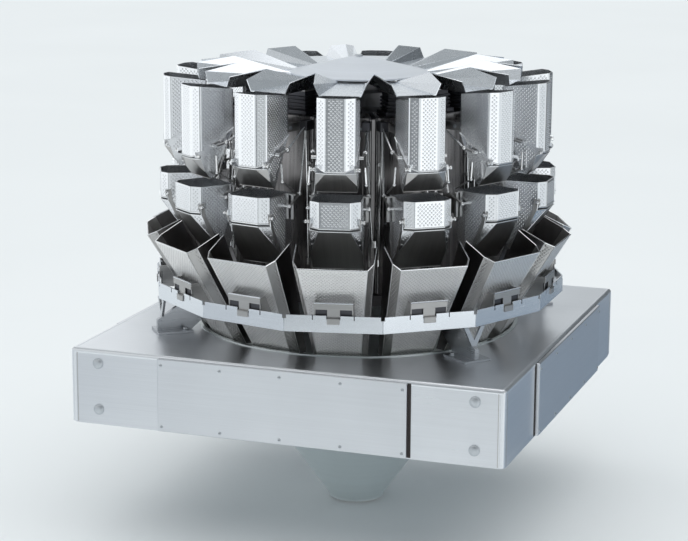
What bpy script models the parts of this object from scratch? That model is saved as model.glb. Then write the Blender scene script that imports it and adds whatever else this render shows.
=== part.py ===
"""Multihead weigher: a ring of fourteen weighing heads above a square base and one discharge funnel.

The product falls on the cone, runs out along the feeder trays into the feed hoppers, drops from
them into the weigh hoppers, and slides down the chutes into the funnel. Each hopper has one gate
that swings outwards on a hinge along its lower front edge.

Lengths are metres and +Z is up. The pieces are drawn round the machine's vertical axis with the
deck at height zero, and all hang from one empty, which puts the middle of the front left mounting
pad's underside at the origin. A head's own drawing faces the front (-Y): x runs along the front,
and r is the distance from the vertical axis.
"""

import math

import bmesh
import bpy
from mathutils import Matrix, Vector

# Ring of heads
HEADS = 14
PITCH = math.tau / HEADS
HALF_PITCH = PITCH / 2
SHEET = 0.0020
GAP = 0.0003
MERGE_DISTANCE = 0.00003
OVERRUN = 0.0100

# Chutes
CHUTE_TOP_R = 0.5410
CHUTE_RUN = 0.1510
CHUTE_TOP = 0.2420
CHUTE_DIP = 0.0100
CHUTE_LOW_R = CHUTE_TOP_R - CHUTE_RUN
CHUTE_LOW = -CHUTE_DIP
CHUTE_TOP_WIDTH = 0.1660
CHUTE_LOW_WIDTH = 0.1040
CHUTE_STRIP = 0.0260
CHUTE_STRIP_ANGLE = math.radians(60)
CHUTE_TOP_DEPTH = 0.0810
CHUTE_LOW_DEPTH = 0.0500
CHUTE_SIDE_RISE = math.radians(27)

# Funnel
FUNNEL_CLEARANCE = 0.0180
FUNNEL_TOP_RADIUS = CHUTE_LOW_R + FUNNEL_CLEARANCE
FUNNEL_CONE_RUN = 0.1300
FUNNEL_KNEE_RADIUS = FUNNEL_TOP_RADIUS - FUNNEL_CONE_RUN
FUNNEL_OUTLET_RADIUS = 0.0710
FUNNEL_DROP = 0.2950
FUNNEL_LIP = 0.0080
FUNNEL_RIM = 0.0060
FUNNEL_SIDES = 42

# Base housing, its covers and its pads
BASE_MARGIN = 0.1420
BASE_SIDE = 2 * (FUNNEL_TOP_RADIUS + BASE_MARGIN)
BASE_HEIGHT = 0.1880
BASE_CORNER_RADIUS = 0.0160
BASE_EDGE_RADIUS = 0.0050
COVER_WIDTH = 0.6320
SIDE_COVER_WIDTH = 0.6400
SIDE_COVER_SHIFT = 0.0450
COVER_TOP_MARGIN = 0.0045
COVER_BOTTOM_MARGIN = 0.0025
COVER_THICKNESS = 0.0100
COVER_EDGE_RADIUS = 0.0015
PAD_SIDE = 0.1000
PAD_HEIGHT = 0.0080
PAD_INSET = 0.1200
PAD_SPACING = BASE_SIDE - 2 * PAD_INSET

# Ring rail that carries the chutes, and the clips that hang them on it
RING_LOW = 0.0855
RING_HEIGHT = 0.0410
RING_THICKNESS = 0.0040
RING_STANDOFF = 0.0645
RING_FACE_R = CHUTE_LOW_R + CHUTE_RUN * (RING_LOW - CHUTE_LOW) / (CHUTE_TOP - CHUTE_LOW) + RING_STANDOFF
RING_RADIUS = (RING_FACE_R + RING_THICKNESS) / math.cos(HALF_PITCH)
RING_JOINT = 0.0020
RING_NOTCH_WIDTH = 0.0330
RING_NOTCH_DEPTH = 0.0090
CLIP_WIDTH = 0.0930
CLIP_DROP = 0.0265
CLIP_RISE = 0.0285
CLIP_THICKNESS = 0.0030
CLIP_TAB_WIDTH = 0.0200
CLIP_TAB_DROP = 0.0140
CLIP_LOW = RING_LOW + RING_HEIGHT - CLIP_DROP
CLIP_TOP = RING_LOW + RING_HEIGHT + CLIP_RISE

# Support legs
LEG_FOOT_WIDTH = 0.0740
LEG_FOOT_PROUD = 0.0110
LEG_FOOT_LENGTH = 0.0900
LEG_FOOT_OUTER_R = RING_RADIUS + LEG_FOOT_PROUD
LEG_FOOT_INNER_R = LEG_FOOT_OUTER_R - LEG_FOOT_LENGTH
LEG_FOOT_THICKNESS = 0.0060
LEG_WEB_THICKNESS = 0.0120
LEG_WEB_TOE = 0.0050
LEG_WEB_NOSE_HEIGHT = 0.0320
LEG_WEB_SHOULDER_HEIGHT = 0.0850
LEG_FORK_THICKNESS = 0.0060
LEG_TRUNK_WIDTH = 0.0160
LEG_TRUNK_HEIGHT = 0.0400
LEG_FORK_SPREAD = 0.0600
LEG_FORK_ARM = 0.0120

# Feed hopper and its hanger
FEED_FRONT_R = 0.4950
FEED_DEPTH = 0.1060
FEED_BACK_R = FEED_FRONT_R - FEED_DEPTH
FEED_WIDTH = 0.0930
FEED_FRONT_WIDTH = 0.0476
FEED_CORNER_DEPTH = 0.0140
FEED_RIM_HEIGHT = 0.6370
FEED_RIM_DIP = 0.0110
FEED_LOW = 0.4640
FEED_SIDE_RISE = math.radians(32)
FEED_HINGE_INSET = 0.0045
FEED_HINGE_RISE = 0.0060
FEED_HINGE_R = FEED_FRONT_R - FEED_HINGE_INSET
FEED_HINGE_HEIGHT = FEED_LOW + FEED_HINGE_RISE
FEED_BACK_TIP_GAP = 0.0040
FEED_HANGER_SPACING = 0.0580
FEED_HANGER_THICKNESS = 0.0060
FEED_HANGER_DROP = 0.0840
FEED_HANGER_HEIGHT = 0.0200
FEED_HANGER_TOP = FEED_RIM_HEIGHT - FEED_HANGER_DROP
FEED_HANGER_LOW = FEED_HANGER_TOP - FEED_HANGER_HEIGHT

# Weigh hopper and its hanger
WEIGH_FRONT_R = 0.5060
WEIGH_DEPTH = 0.1110
WEIGH_BACK_R = WEIGH_FRONT_R - WEIGH_DEPTH
WEIGH_WIDTH = 0.1180
WEIGH_FRONT_WIDTH = 0.0754
WEIGH_CORNER_DEPTH = 0.0180
WEIGH_RIM_HEIGHT = 0.3950
WEIGH_LOW = 0.3310
WEIGH_BACK_LOW = 0.2860
WEIGH_HINGE_INSET = 0.0160
WEIGH_HINGE_RISE = 0.0150
WEIGH_HINGE_R = WEIGH_FRONT_R - WEIGH_HINGE_INSET
WEIGH_HINGE_HEIGHT = WEIGH_LOW + WEIGH_HINGE_RISE
WEIGH_EDGE_GAP = 0.0040
WEIGH_EDGE_RISE = 0.0035
WEIGH_HANGER_WIDTH = 0.0800
WEIGH_HANGER_DROP = 0.0120
WEIGH_HANGER_HEIGHT = 0.0780
WEIGH_HANGER_THICKNESS = 0.0070
WEIGH_HANGER_TOP = WEIGH_RIM_HEIGHT - WEIGH_HANGER_DROP
WEIGH_HANGER_LOW = WEIGH_HANGER_TOP - WEIGH_HANGER_HEIGHT
WEIGH_ARM_WIDTH = 0.0320
WEIGH_ARM_MARGIN = 0.0180

# Gates
GATE_SLOPE = math.radians(38)
GATE_FRONT_GAP = 0.0005
FEED_GATE_DROP = 0.0095
FEED_GATE_WAIST = 0.0300
FEED_GATE_HEIGHT = 0.0490
FEED_CHEEK_REACH = 0.0840
FEED_CHEEK_RISE = 0.0200
FEED_CHEEK_LAP = 0.0070
WEIGH_GATE_DROP = 0.0205
WEIGH_GATE_WAIST = 0.0575
WEIGH_GATE_HEIGHT = 0.1055
CHEEK_WIDTH = 0.0110
EAR_NOSE = 0.0055
EAR_LOW = 0.0045
EAR_TOP = 0.0090
EAR_BACK = 0.0180
KNOB_RADIUS = 0.0050
KNOB_LENGTH = 0.0110
KNOB_SIDES = 8

# Feeder trays
TRAY_LIFT = 0.0040
TRAY_LAP = 0.0190
TRAY_LENGTH = 0.2480
TRAY_MOUTH_R = FEED_BACK_R + TRAY_LAP
TRAY_INNER_R = TRAY_MOUTH_R - TRAY_LENGTH
TRAY_FLOOR = FEED_RIM_HEIGHT - FEED_RIM_DIP + SHEET + TRAY_LIFT
TRAY_SHOULDER_HEIGHT = 0.0267
TRAY_SHOULDER_WIDTH = 0.1216
TRAY_FLARE = math.radians(24.4)
TRAY_INNER_WIDTH = 0.0620
RIDGE_SETBACK = 0.0880
RIDGE_OUTER_R = TRAY_MOUTH_R - RIDGE_SETBACK
RIDGE_INNER_R = TRAY_INNER_R + OVERRUN
RIDGE_HEIGHT = 0.0410
RIDGE_FOOT = 0.0005

# Dispersion cone
CONE_LIFT = 0.0070
CONE_EDGE = TRAY_FLOOR + CONE_LIFT
CONE_RADIUS = 0.1720
CONE_SLOPE = math.radians(14.5)
CONE_HEM_RADIUS = 0.0030
CONE_HEM_START = math.radians(-60)
CONE_HEM_STEP = math.radians(45)
CONE_HEM_POINTS = 5
CONE_HUB_RADIUS = 0.0600
CONE_SIDES = 42

# Central body
BODY_APOTHEM = 0.2050
BODY_LOW = 0.1297
BODY_FLANGE_RADIUS = 0.3250
BODY_FLANGE_THICKNESS = 0.0250
BODY_KEEL_RADIUS = 0.1400
BODY_KEEL_DEPTH = 0.0350
BODY_NECK_DROP = 0.0300
BODY_NECK_HEIGHT = 0.0350
BODY_NECK_TOP = TRAY_FLOOR - BODY_NECK_DROP
BODY_SHOULDER = BODY_NECK_TOP - BODY_NECK_HEIGHT
BODY_NECK_RADIUS = 0.1400
BODY_HUB_RADIUS = 0.0800

# Drive unit of a head, with the feeder drive on its top
CASE_DEPTH = 0.1050
CASE_OUTER_R = BODY_APOTHEM + CASE_DEPTH
CASE_OUTER_WIDTH = 0.1340
CASE_INNER_WIDTH = 0.0880
CASE_TOP = BODY_SHOULDER
CASE_EDGE_RADIUS = 0.0120
DRIVE_MARGIN = 0.0200
DRIVE_WIDTH = 0.0560


def at(x, r, z):
    """A point of the head that faces the front, at r from the vertical axis."""
    return Vector((x, -r, z))


def head_angle(index):
    """The turn from the front to a head, towards +X."""
    return HALF_PITCH + index * PITCH


def ring_groups():
    """The heads whose chutes hang on each length of the ring rail, counted from the front."""
    return {"front": range(-2, 2), "right": range(2, 5), "back": range(5, 9), "left": range(9, 12)}


def turned(angle):
    return Matrix.Rotation(angle, 4, "Z")


def material(name, colour, roughness, metallic):
    made = bpy.data.materials.new(name)
    made.use_nodes = True
    shader = made.node_tree.nodes["Principled BSDF"]
    shader.inputs["Base Color"].default_value = (*colour, 1.0)
    shader.inputs["Roughness"].default_value = roughness
    shader.inputs["Metallic"].default_value = metallic
    made.diffuse_color = (*colour, 1.0)
    return made


def mesh_of(bm, name):
    """The bmesh as a mesh with its faces pointing out."""
    bmesh.ops.recalc_face_normals(bm, faces=bm.faces)
    mesh = bpy.data.meshes.new(name)
    bm.to_mesh(mesh)
    bm.free()
    return mesh


def extruded(points, along, name):
    """The polygon through the points, pushed along a vector."""
    bm = bmesh.new()
    face = bm.faces.new([bm.verts.new(point) for point in points])
    moved = bmesh.ops.extrude_face_region(bm, geom=[face])["geom"]
    bmesh.ops.translate(bm, verts=[v for v in moved if isinstance(v, bmesh.types.BMVert)], vec=along)
    return mesh_of(bm, name)


def plate_across(profile, low_x, high_x, name="plate"):
    """A plate whose (r, z) profile stands in a radial plane, from one x to another."""
    return extruded([at(low_x, r, z) for r, z in profile], Vector((high_x - low_x, 0, 0)), name)


def plate_facing(profile, inner_r, outer_r, name="plate"):
    """A plate whose (x, z) profile faces outwards, from one radius to another."""
    return extruded([at(x, inner_r, z) for x, z in profile], at(0, outer_r - inner_r, 0), name)


def slab(outline, low, high, name="slab"):
    """A block whose (x, r) outline lies flat, from one height to another."""
    return extruded([at(x, r, low) for x, r in outline], Vector((0, 0, high - low)), name)


def block(half_width, inner_r, outer_r, low, high, name="block"):
    return slab(tapered_outline(half_width, inner_r, half_width, outer_r), low, high, name)


def tapered_outline(inner_half, inner_r, outer_half, outer_r):
    return [(-inner_half, inner_r), (inner_half, inner_r), (outer_half, outer_r), (-outer_half, outer_r)]


def pin(start, end, radius, sides, name="pin"):
    """A round bar between two points that differ in x alone."""
    bm = bmesh.new()
    middle = Matrix.Translation((start + end) / 2) @ Matrix.Rotation(math.pi / 2, 4, "Y")
    bmesh.ops.create_cone(
        bm,
        cap_ends=True,
        segments=sides,
        radius1=radius,
        radius2=radius,
        depth=(end - start).length,
        matrix=middle,
    )
    return mesh_of(bm, name)


def spun(profile, sides, name, turn=0.0):
    """The closed (r, z) profile turned round the vertical axis."""
    bm = bmesh.new()
    verts = [bm.verts.new(turned(turn) @ at(0, r, z)) for r, z in profile]
    edges = [bm.edges.new(pair) for pair in zip(verts, verts[1:] + verts[:1]) if not on_axis(pair)]
    bmesh.ops.spin(
        bm,
        geom=verts + edges,
        angle=math.tau,
        steps=sides,
        axis=(0, 0, 1),
        cent=(0, 0, 0),
        use_merge=True,
    )
    bmesh.ops.remove_doubles(bm, verts=bm.verts, dist=MERGE_DISTANCE)
    return mesh_of(bm, name)


def on_axis(pair):
    """Whether both ends of an edge lie on the vertical axis, where it sweeps no face."""
    return all(vert.co.x == 0 and vert.co.y == 0 for vert in pair)


def evaluated(mesh, modifiers, name):
    """The mesh as the modifiers leave it; each is a type with its settings."""
    holder = bpy.data.objects.new(name, mesh)
    bpy.context.scene.collection.objects.link(holder)
    for kind, settings in modifiers:
        modifier = holder.modifiers.new(kind.lower(), kind)
        for key, value in settings.items():
            setattr(modifier, key, value)
    bpy.context.view_layer.update()
    result = bpy.data.meshes.new_from_object(holder.evaluated_get(bpy.context.evaluated_depsgraph_get()))
    result.name = name
    bpy.data.objects.remove(holder)
    return result


def combined(operation, first, others, name, solver="EXACT"):
    """The first mesh with the others added to it or cut out of it."""
    holders = []
    for other in others:
        holder = bpy.data.objects.new("operand", other)
        bpy.context.scene.collection.objects.link(holder)
        holders.append(holder)
    settings = [
        ("BOOLEAN", {"operation": operation, "solver": solver, "object": holder}) for holder in holders
    ]
    result = evaluated(first, settings, name)
    for holder in holders:
        bpy.data.objects.remove(holder)
    return result


def joined(meshes, name, solver="EXACT"):
    return combined("UNION", meshes[0], meshes[1:], name, solver)


def cut(mesh, cutters, name):
    return combined("DIFFERENCE", mesh, cutters, name)


def placed(mesh, matrix):
    """A copy of the mesh moved by the matrix."""
    copy = mesh.copy()
    copy.transform(matrix)
    return copy


def thickened(faces, points, thickness, name):
    """A sheet of the faces through the points, given its thickness on the side the faces look away from."""
    bm = bmesh.new()
    verts = [bm.verts.new(point) for point in points]
    for face in faces:
        bm.faces.new([verts[i] for i in face])
    mesh = bpy.data.meshes.new(name)
    bm.to_mesh(mesh)
    bm.free()
    settings = {
        "thickness": thickness,
        "offset": -1.0,
        "use_even_offset": True,
        "use_quality_normals": True,
    }
    return evaluated(mesh, [("SOLIDIFY", settings)], name)


def wall_round(outline, lows, highs, name):
    """An upright sheet wall round a closed (x, r) outline, from the low to the high edge's heights."""
    count = len(outline)
    points = [at(x, r, z) for heights in (lows, highs) for (x, r), z in zip(outline, heights)]
    faces = [(i, count + i, count + (i + 1) % count, (i + 1) % count) for i in range(count)]
    return thickened(faces, points, SHEET, name)


def beveled(mesh, radius, segments, name):
    settings = {"width": radius, "segments": segments, "limit_method": "ANGLE", "use_clamp_overlap": True}
    return evaluated(mesh, [("BEVEL", settings)], name)


def base_housing():
    """The closed housing with its rolled edges, the bore for the funnel and four pads below."""
    bm = bmesh.new()
    bmesh.ops.create_cube(bm, size=1.0)
    bmesh.ops.scale(bm, vec=(BASE_SIDE, BASE_SIDE, BASE_HEIGHT), verts=bm.verts)
    bmesh.ops.translate(bm, vec=(0, 0, -BASE_HEIGHT / 2), verts=bm.verts)
    upright = [e for e in bm.edges if abs(e.verts[0].co.z - e.verts[1].co.z) > GAP]
    bmesh.ops.bevel(bm, geom=upright, offset=BASE_CORNER_RADIUS, segments=4, profile=0.5, affect="EDGES")
    top = [e for e in bm.edges if all(v.co.z > -GAP for v in e.verts)]
    bmesh.ops.bevel(bm, geom=top, offset=BASE_EDGE_RADIUS, segments=2, profile=0.5, affect="EDGES")
    housing = mesh_of(bm, "base_housing")
    low = -BASE_HEIGHT
    pads = [
        slab(square_at(x, r), low - PAD_HEIGHT, low + PAD_HEIGHT)
        for x in (-PAD_SPACING / 2, PAD_SPACING / 2)
        for r in (-PAD_SPACING / 2, PAD_SPACING / 2)
    ]
    return cut(joined([housing, *pads], "base_housing"), [funnel_bore()], "base_housing")


def funnel_bore():
    """The cutter that leaves the funnel's cone its seat in the housing."""
    top, low = FUNNEL_TOP_RADIUS + GAP, FUNNEL_KNEE_RADIUS + GAP
    beyond = OVERRUN * FUNNEL_CONE_RUN / BASE_HEIGHT
    profile = [
        (0, OVERRUN),
        (top + beyond, OVERRUN),
        (low - beyond, -BASE_HEIGHT - OVERRUN),
        (0, -BASE_HEIGHT - OVERRUN),
    ]
    return spun(profile, FUNNEL_SIDES, "bore")


def square_at(x, r):
    half = PAD_SIDE / 2
    return [(x - half, r - half), (x + half, r - half), (x + half, r + half), (x - half, r + half)]


def cover(width, shift, name):
    """A cover plate on the front face; shift moves it along the face."""
    inner = BASE_SIDE / 2 + GAP
    low, high = -BASE_HEIGHT + COVER_BOTTOM_MARGIN, -COVER_TOP_MARGIN
    left, right = shift - width / 2, shift + width / 2
    outline = [(left, low), (right, low), (right, high), (left, high)]
    plate = plate_facing(outline, inner, inner + COVER_THICKNESS, name)
    return beveled(plate, COVER_EDGE_RADIUS, 1, name)


def collecting_funnel():
    """The funnel's sheet from its lip on the deck to its outlet."""
    outer = [
        (FUNNEL_TOP_RADIUS + FUNNEL_LIP, GAP + SHEET),
        (FUNNEL_TOP_RADIUS + FUNNEL_LIP, GAP),
        (FUNNEL_TOP_RADIUS, GAP),
        (FUNNEL_KNEE_RADIUS, -BASE_HEIGHT),
        (FUNNEL_OUTLET_RADIUS, -BASE_HEIGHT - FUNNEL_DROP + FUNNEL_RIM),
        (FUNNEL_OUTLET_RADIUS, -BASE_HEIGHT - FUNNEL_DROP),
    ]
    inner = [
        (FUNNEL_OUTLET_RADIUS - SHEET, -BASE_HEIGHT - FUNNEL_DROP),
        (FUNNEL_OUTLET_RADIUS - SHEET, -BASE_HEIGHT - FUNNEL_DROP + FUNNEL_RIM),
        (FUNNEL_KNEE_RADIUS - SHEET, -BASE_HEIGHT + SHEET),
        (FUNNEL_TOP_RADIUS - SHEET, GAP + SHEET),
    ]
    return spun(outer + inner, FUNNEL_SIDES, "collecting_funnel")


def chute_face(z):
    """The radius of a chute's outer face at a height."""
    share = (z - CHUTE_LOW) / (CHUTE_TOP - CHUTE_LOW)
    return CHUTE_LOW_R + (CHUTE_TOP_R - CHUTE_LOW_R) * share


def chute():
    """One chute: its outer plate, the strips folded back beside it and its side walls, with its clip."""
    strip_x = CHUTE_STRIP * math.cos(CHUTE_STRIP_ANGLE)
    strip_r = CHUTE_STRIP * math.sin(CHUTE_STRIP_ANGLE)
    rise = math.tan(CHUTE_SIDE_RISE)
    points = []
    for width, outer_r, depth, z, climb in (
        (CHUTE_TOP_WIDTH, CHUTE_TOP_R, CHUTE_TOP_DEPTH, CHUTE_TOP, rise),
        (CHUTE_LOW_WIDTH, CHUTE_LOW_R, CHUTE_LOW_DEPTH, CHUTE_LOW, 0),
    ):
        half, side_r = width / 2, outer_r - depth
        row = [
            (half + strip_x, side_r, z + climb * (outer_r - side_r)),
            (half + strip_x, outer_r - strip_r, z + climb * strip_r),
            (half, outer_r, z),
        ]
        points += [at(-x, r, height) for x, r, height in row]
        points += [at(x, r, height) for x, r, height in reversed(row)]
    faces = [(i, i + 6, i + 7, i + 1) for i in range(5)]
    trough = thickened(faces, points, SHEET, "chute")
    return joined([trough, *clip()], "chute")


def clip():
    """The bracket that hangs a chute on the ring rail, with its hooked tab in the rail's notch."""
    half = CLIP_WIDTH / 2
    rail_inner, rail_outer = RING_FACE_R, RING_FACE_R + RING_THICKNESS
    face_r = rail_inner - CLIP_THICKNESS + SHEET / 2
    plate = block(half, face_r, rail_inner + SHEET / 2, CLIP_LOW, CLIP_TOP)
    inside = SHEET / 2
    side = [
        (chute_face(CLIP_LOW) - inside, CLIP_LOW),
        (face_r + inside, CLIP_LOW),
        (face_r + inside, CLIP_TOP),
        (chute_face(CLIP_TOP) - inside, CLIP_TOP),
    ]
    legs = [
        plate_across(side, -half, -half + CLIP_THICKNESS),
        plate_across(side, half - CLIP_THICKNESS, half),
    ]
    seat = RING_LOW + RING_HEIGHT - RING_NOTCH_DEPTH
    tab_out = rail_outer + CLIP_THICKNESS
    bridge = block(CLIP_TAB_WIDTH / 2, face_r, tab_out, seat - SHEET, seat + CLIP_THICKNESS)
    hook = block(CLIP_TAB_WIDTH / 2, rail_outer - inside, tab_out, seat - CLIP_TAB_DROP, seat + CLIP_THICKNESS)
    return [plate, *legs, bridge, hook]


def rail(first, last):
    """The ring rail over a run of heads, ending a little short of the next run."""
    low, high = RING_LOW, RING_LOW + RING_HEIGHT
    inner = RING_RADIUS - RING_THICKNESS / math.cos(HALF_PITCH)
    ends = RING_JOINT / RING_RADIUS / 2
    turns = [head_angle(first) - HALF_PITCH + i * PITCH for i in range(last - first + 2)]
    turns[0] += ends
    turns[-1] -= ends
    spots = [(RING_RADIUS * math.sin(a), RING_RADIUS * math.cos(a)) for a in turns]
    spots += [(inner * math.sin(a), inner * math.cos(a)) for a in reversed(turns)]
    strip = slab(spots, low, high, "rail")
    notches = []
    for index in range(first, last + 1):
        inner_r, outer_r = RING_FACE_R - OVERRUN, RING_FACE_R + OVERRUN
        notch = block(RING_NOTCH_WIDTH / 2, inner_r, outer_r, high - RING_NOTCH_DEPTH, high + OVERRUN)
        notches.append(placed(notch, turned(head_angle(index))))
    return cut(strip, notches, "rail")


def chute_group(indices, name):
    """The chutes of one run of heads, hung on their length of rail."""
    one = chute()
    chutes = [placed(one, turned(head_angle(index))) for index in indices]
    return joined([rail(indices[0], indices[-1]), *chutes], name, "MANIFOLD")


def support_leg():
    """A foot on the deck, a web up to the central body and a fork under the ring rail."""
    floor = GAP
    foot = block(LEG_FOOT_WIDTH / 2, LEG_FOOT_INNER_R, LEG_FOOT_OUTER_R, floor, floor + LEG_FOOT_THICKNESS)
    body_r = BODY_FLANGE_RADIUS + GAP
    nose_r = LEG_FOOT_OUTER_R - LEG_WEB_TOE
    web = [
        (nose_r, floor),
        (nose_r, LEG_WEB_NOSE_HEIGHT),
        (LEG_FOOT_INNER_R, LEG_WEB_SHOULDER_HEIGHT),
        (body_r, BODY_LOW),
        (body_r, BODY_LOW - BODY_FLANGE_THICKNESS),
        (LEG_FOOT_INNER_R, floor),
    ]
    half = LEG_WEB_THICKNESS / 2
    trunk = LEG_TRUNK_WIDTH / 2
    outer = LEG_FORK_SPREAD / 2
    inner = outer - LEG_FORK_ARM
    top = RING_LOW - GAP
    crotch = LEG_TRUNK_HEIGHT + LEG_FORK_ARM
    fork = [
        (-trunk, floor),
        (trunk, floor),
        (trunk, LEG_TRUNK_HEIGHT),
        (outer, top),
        (inner, top),
        (0, crotch),
        (-inner, top),
        (-outer, top),
        (-trunk, LEG_TRUNK_HEIGHT),
    ]
    fork_outer = RING_RADIUS - RING_THICKNESS
    forked = plate_facing(fork, fork_outer - LEG_FORK_THICKNESS, fork_outer)
    return joined([foot, plate_across(web, -half, half), forked], "support_leg")


def central_body():
    """The fourteen-sided body that carries the drive units, on its bottom flange."""
    side = BODY_APOTHEM / math.cos(HALF_PITCH)
    flange_low = BODY_LOW - BODY_FLANGE_THICKNESS
    hub_top = CONE_EDGE - CONE_HEM_RADIUS - GAP
    profile = [
        (0, flange_low - BODY_KEEL_DEPTH),
        (BODY_KEEL_RADIUS, flange_low - BODY_KEEL_DEPTH),
        (side, flange_low),
        (BODY_FLANGE_RADIUS, flange_low),
        (BODY_FLANGE_RADIUS, BODY_LOW),
        (side, BODY_LOW),
        (side, BODY_SHOULDER),
        (BODY_NECK_RADIUS, BODY_SHOULDER),
        (BODY_NECK_RADIUS, BODY_NECK_TOP),
        (BODY_HUB_RADIUS, BODY_NECK_TOP),
        (BODY_HUB_RADIUS, hub_top),
        (0, hub_top),
    ]
    return spun(profile, HEADS, "central_body")


def drive_unit():
    """A head's closed casing with the feeder drive that carries its tray."""
    low = BODY_LOW + GAP
    inner_r = BODY_APOTHEM + GAP
    outline = tapered_outline(CASE_INNER_WIDTH / 2, inner_r, CASE_OUTER_WIDTH / 2, CASE_OUTER_R)
    casing = beveled(slab(outline, low, CASE_TOP), CASE_EDGE_RADIUS, 1, "casing")
    drive_top = TRAY_FLOOR - SHEET - GAP
    drive_r = (inner_r + DRIVE_MARGIN, CASE_OUTER_R - DRIVE_MARGIN)
    drive = block(DRIVE_WIDTH / 2, *drive_r, CASE_TOP - OVERRUN, drive_top)
    return [casing, drive]


def hopper_outline(width, front_width, front_r, back_r, corner_depth):
    """A hopper's outline from above: back corners, then sides, then the folded front."""
    half, front = width / 2, front_width / 2
    side_r = front_r - corner_depth
    return [(half, back_r), (half, side_r), (front, front_r), (-front, front_r), (-half, side_r), (-half, back_r)]


def hinge_ear(side, wall, hinge_r, hinge_height):
    """A flat ear on a hopper's lower front corner, beside the gate's pin."""
    profile = [
        (hinge_r - EAR_BACK, hinge_height - EAR_LOW),
        (hinge_r + EAR_NOSE, hinge_height - EAR_LOW),
        (hinge_r + EAR_NOSE, hinge_height + EAR_TOP),
        (hinge_r - EAR_BACK, hinge_height + EAR_TOP),
    ]
    return plate_across(profile, *sorted((side * wall, side * (wall - SHEET))))


def feed_hopper():
    outline = hopper_outline(FEED_WIDTH, FEED_FRONT_WIDTH, FEED_FRONT_R, FEED_BACK_R, FEED_CORNER_DEPTH)
    lows = [FEED_LOW + (FEED_FRONT_R - r) * math.tan(FEED_SIDE_RISE) for x, r in outline]
    dip = FEED_RIM_HEIGHT - FEED_RIM_DIP
    highs = [dip, *[FEED_RIM_HEIGHT] * (len(outline) - 2), dip]
    wall = wall_round(outline, lows, highs, "feed_hopper")
    tip_r, tip = feed_gate_line()[-1]
    tip_r -= FEED_BACK_TIP_GAP
    slope_top = lows[0] + SHEET
    slope = [
        (FEED_BACK_R, slope_top),
        (FEED_BACK_R + SHEET, slope_top),
        (tip_r, tip),
        (tip_r - SHEET, tip),
    ]
    inside = FEED_WIDTH / 2
    back = plate_across(slope, -inside, inside)
    ears = [hinge_ear(side, FEED_WIDTH / 2, FEED_HINGE_R, FEED_HINGE_HEIGHT) for side in (-1, 1)]
    arms = []
    for side in (-1, 1):
        middle = side * FEED_HANGER_SPACING / 2
        profile = [
            (CASE_OUTER_R - SHEET, FEED_HANGER_LOW),
            (FEED_BACK_R + SHEET / 2, FEED_HANGER_LOW),
            (FEED_BACK_R + SHEET / 2, FEED_HANGER_TOP),
            (CASE_OUTER_R - SHEET, FEED_HANGER_TOP),
        ]
        half = FEED_HANGER_THICKNESS / 2
        arms.append(plate_across(profile, middle - half, middle + half))
    return [wall, back, *ears, *arms]


def weigh_hopper():
    outline = hopper_outline(WEIGH_WIDTH, WEIGH_FRONT_WIDTH, WEIGH_FRONT_R, WEIGH_BACK_R, WEIGH_CORNER_DEPTH)
    tip_r, tip = weigh_gate_line()[-1]
    tip_r -= WEIGH_EDGE_GAP + SHEET
    tip += WEIGH_EDGE_RISE
    half = WEIGH_WIDTH / 2
    outline.insert(1, (half, tip_r))
    outline.insert(len(outline) - 1, (-half, tip_r))
    lows = [WEIGH_BACK_LOW, tip, WEIGH_LOW, WEIGH_LOW, WEIGH_LOW, WEIGH_LOW, tip, WEIGH_BACK_LOW]
    wall = wall_round(outline, lows, [WEIGH_RIM_HEIGHT] * len(outline), "weigh_hopper")
    slope = [
        (WEIGH_BACK_R, WEIGH_BACK_LOW + SHEET),
        (WEIGH_BACK_R + SHEET, WEIGH_BACK_LOW + SHEET),
        (tip_r, tip),
        (tip_r - SHEET, tip),
    ]
    back = plate_across(slope, -half, half)
    ears = [hinge_ear(side, WEIGH_WIDTH / 2, WEIGH_HINGE_R, WEIGH_HINGE_HEIGHT) for side in (-1, 1)]
    arm_low, arm_top = WEIGH_HANGER_LOW + WEIGH_ARM_MARGIN, WEIGH_HANGER_TOP - WEIGH_ARM_MARGIN
    arm = block(WEIGH_ARM_WIDTH / 2, CASE_OUTER_R - SHEET, WEIGH_BACK_R, arm_low, arm_top)
    hanger = block(
        WEIGH_HANGER_WIDTH / 2,
        WEIGH_BACK_R - WEIGH_HANGER_THICKNESS,
        WEIGH_BACK_R + SHEET / 2,
        WEIGH_HANGER_LOW,
        WEIGH_HANGER_TOP,
    )
    return [wall, back, *ears, arm, hanger]


def weighing_head():
    return joined([*drive_unit(), *feed_hopper(), *weigh_hopper()], "weighing_head")


def gate_line(front_r, hinge_height, drop, waist, height):
    """A gate's front as (r, z): its top, its waist where the corners end, and its tip."""
    top_r, top = front_r - GATE_FRONT_GAP, hinge_height - drop
    return [(top_r - down * math.tan(GATE_SLOPE), top - down) for down in (0, waist, height)]


def feed_gate_line():
    return gate_line(FEED_FRONT_R, FEED_HINGE_HEIGHT, FEED_GATE_DROP, FEED_GATE_WAIST, FEED_GATE_HEIGHT)


def weigh_gate_line():
    return gate_line(WEIGH_FRONT_R, WEIGH_HINGE_HEIGHT, WEIGH_GATE_DROP, WEIGH_GATE_WAIST, WEIGH_GATE_HEIGHT)


def folded_panel(width, front_width, corner_depth, line):
    """A gate's front, which widens downwards between two folded corners until its waist."""
    half, front = width / 2 + GAP + SHEET, front_width / 2
    top, waist, tip = line
    corner = (top[0] - corner_depth, top[1])
    points = [
        at(-half, *corner),
        at(-front, *top),
        at(front, *top),
        at(half, *corner),
        at(half, *waist),
        at(half, *tip),
        at(-half, *tip),
        at(-half, *waist),
    ]
    return thickened([(0, 7, 1), (1, 7, 6, 5, 4, 2), (2, 4, 3)], points, SHEET, "panel")


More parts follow.
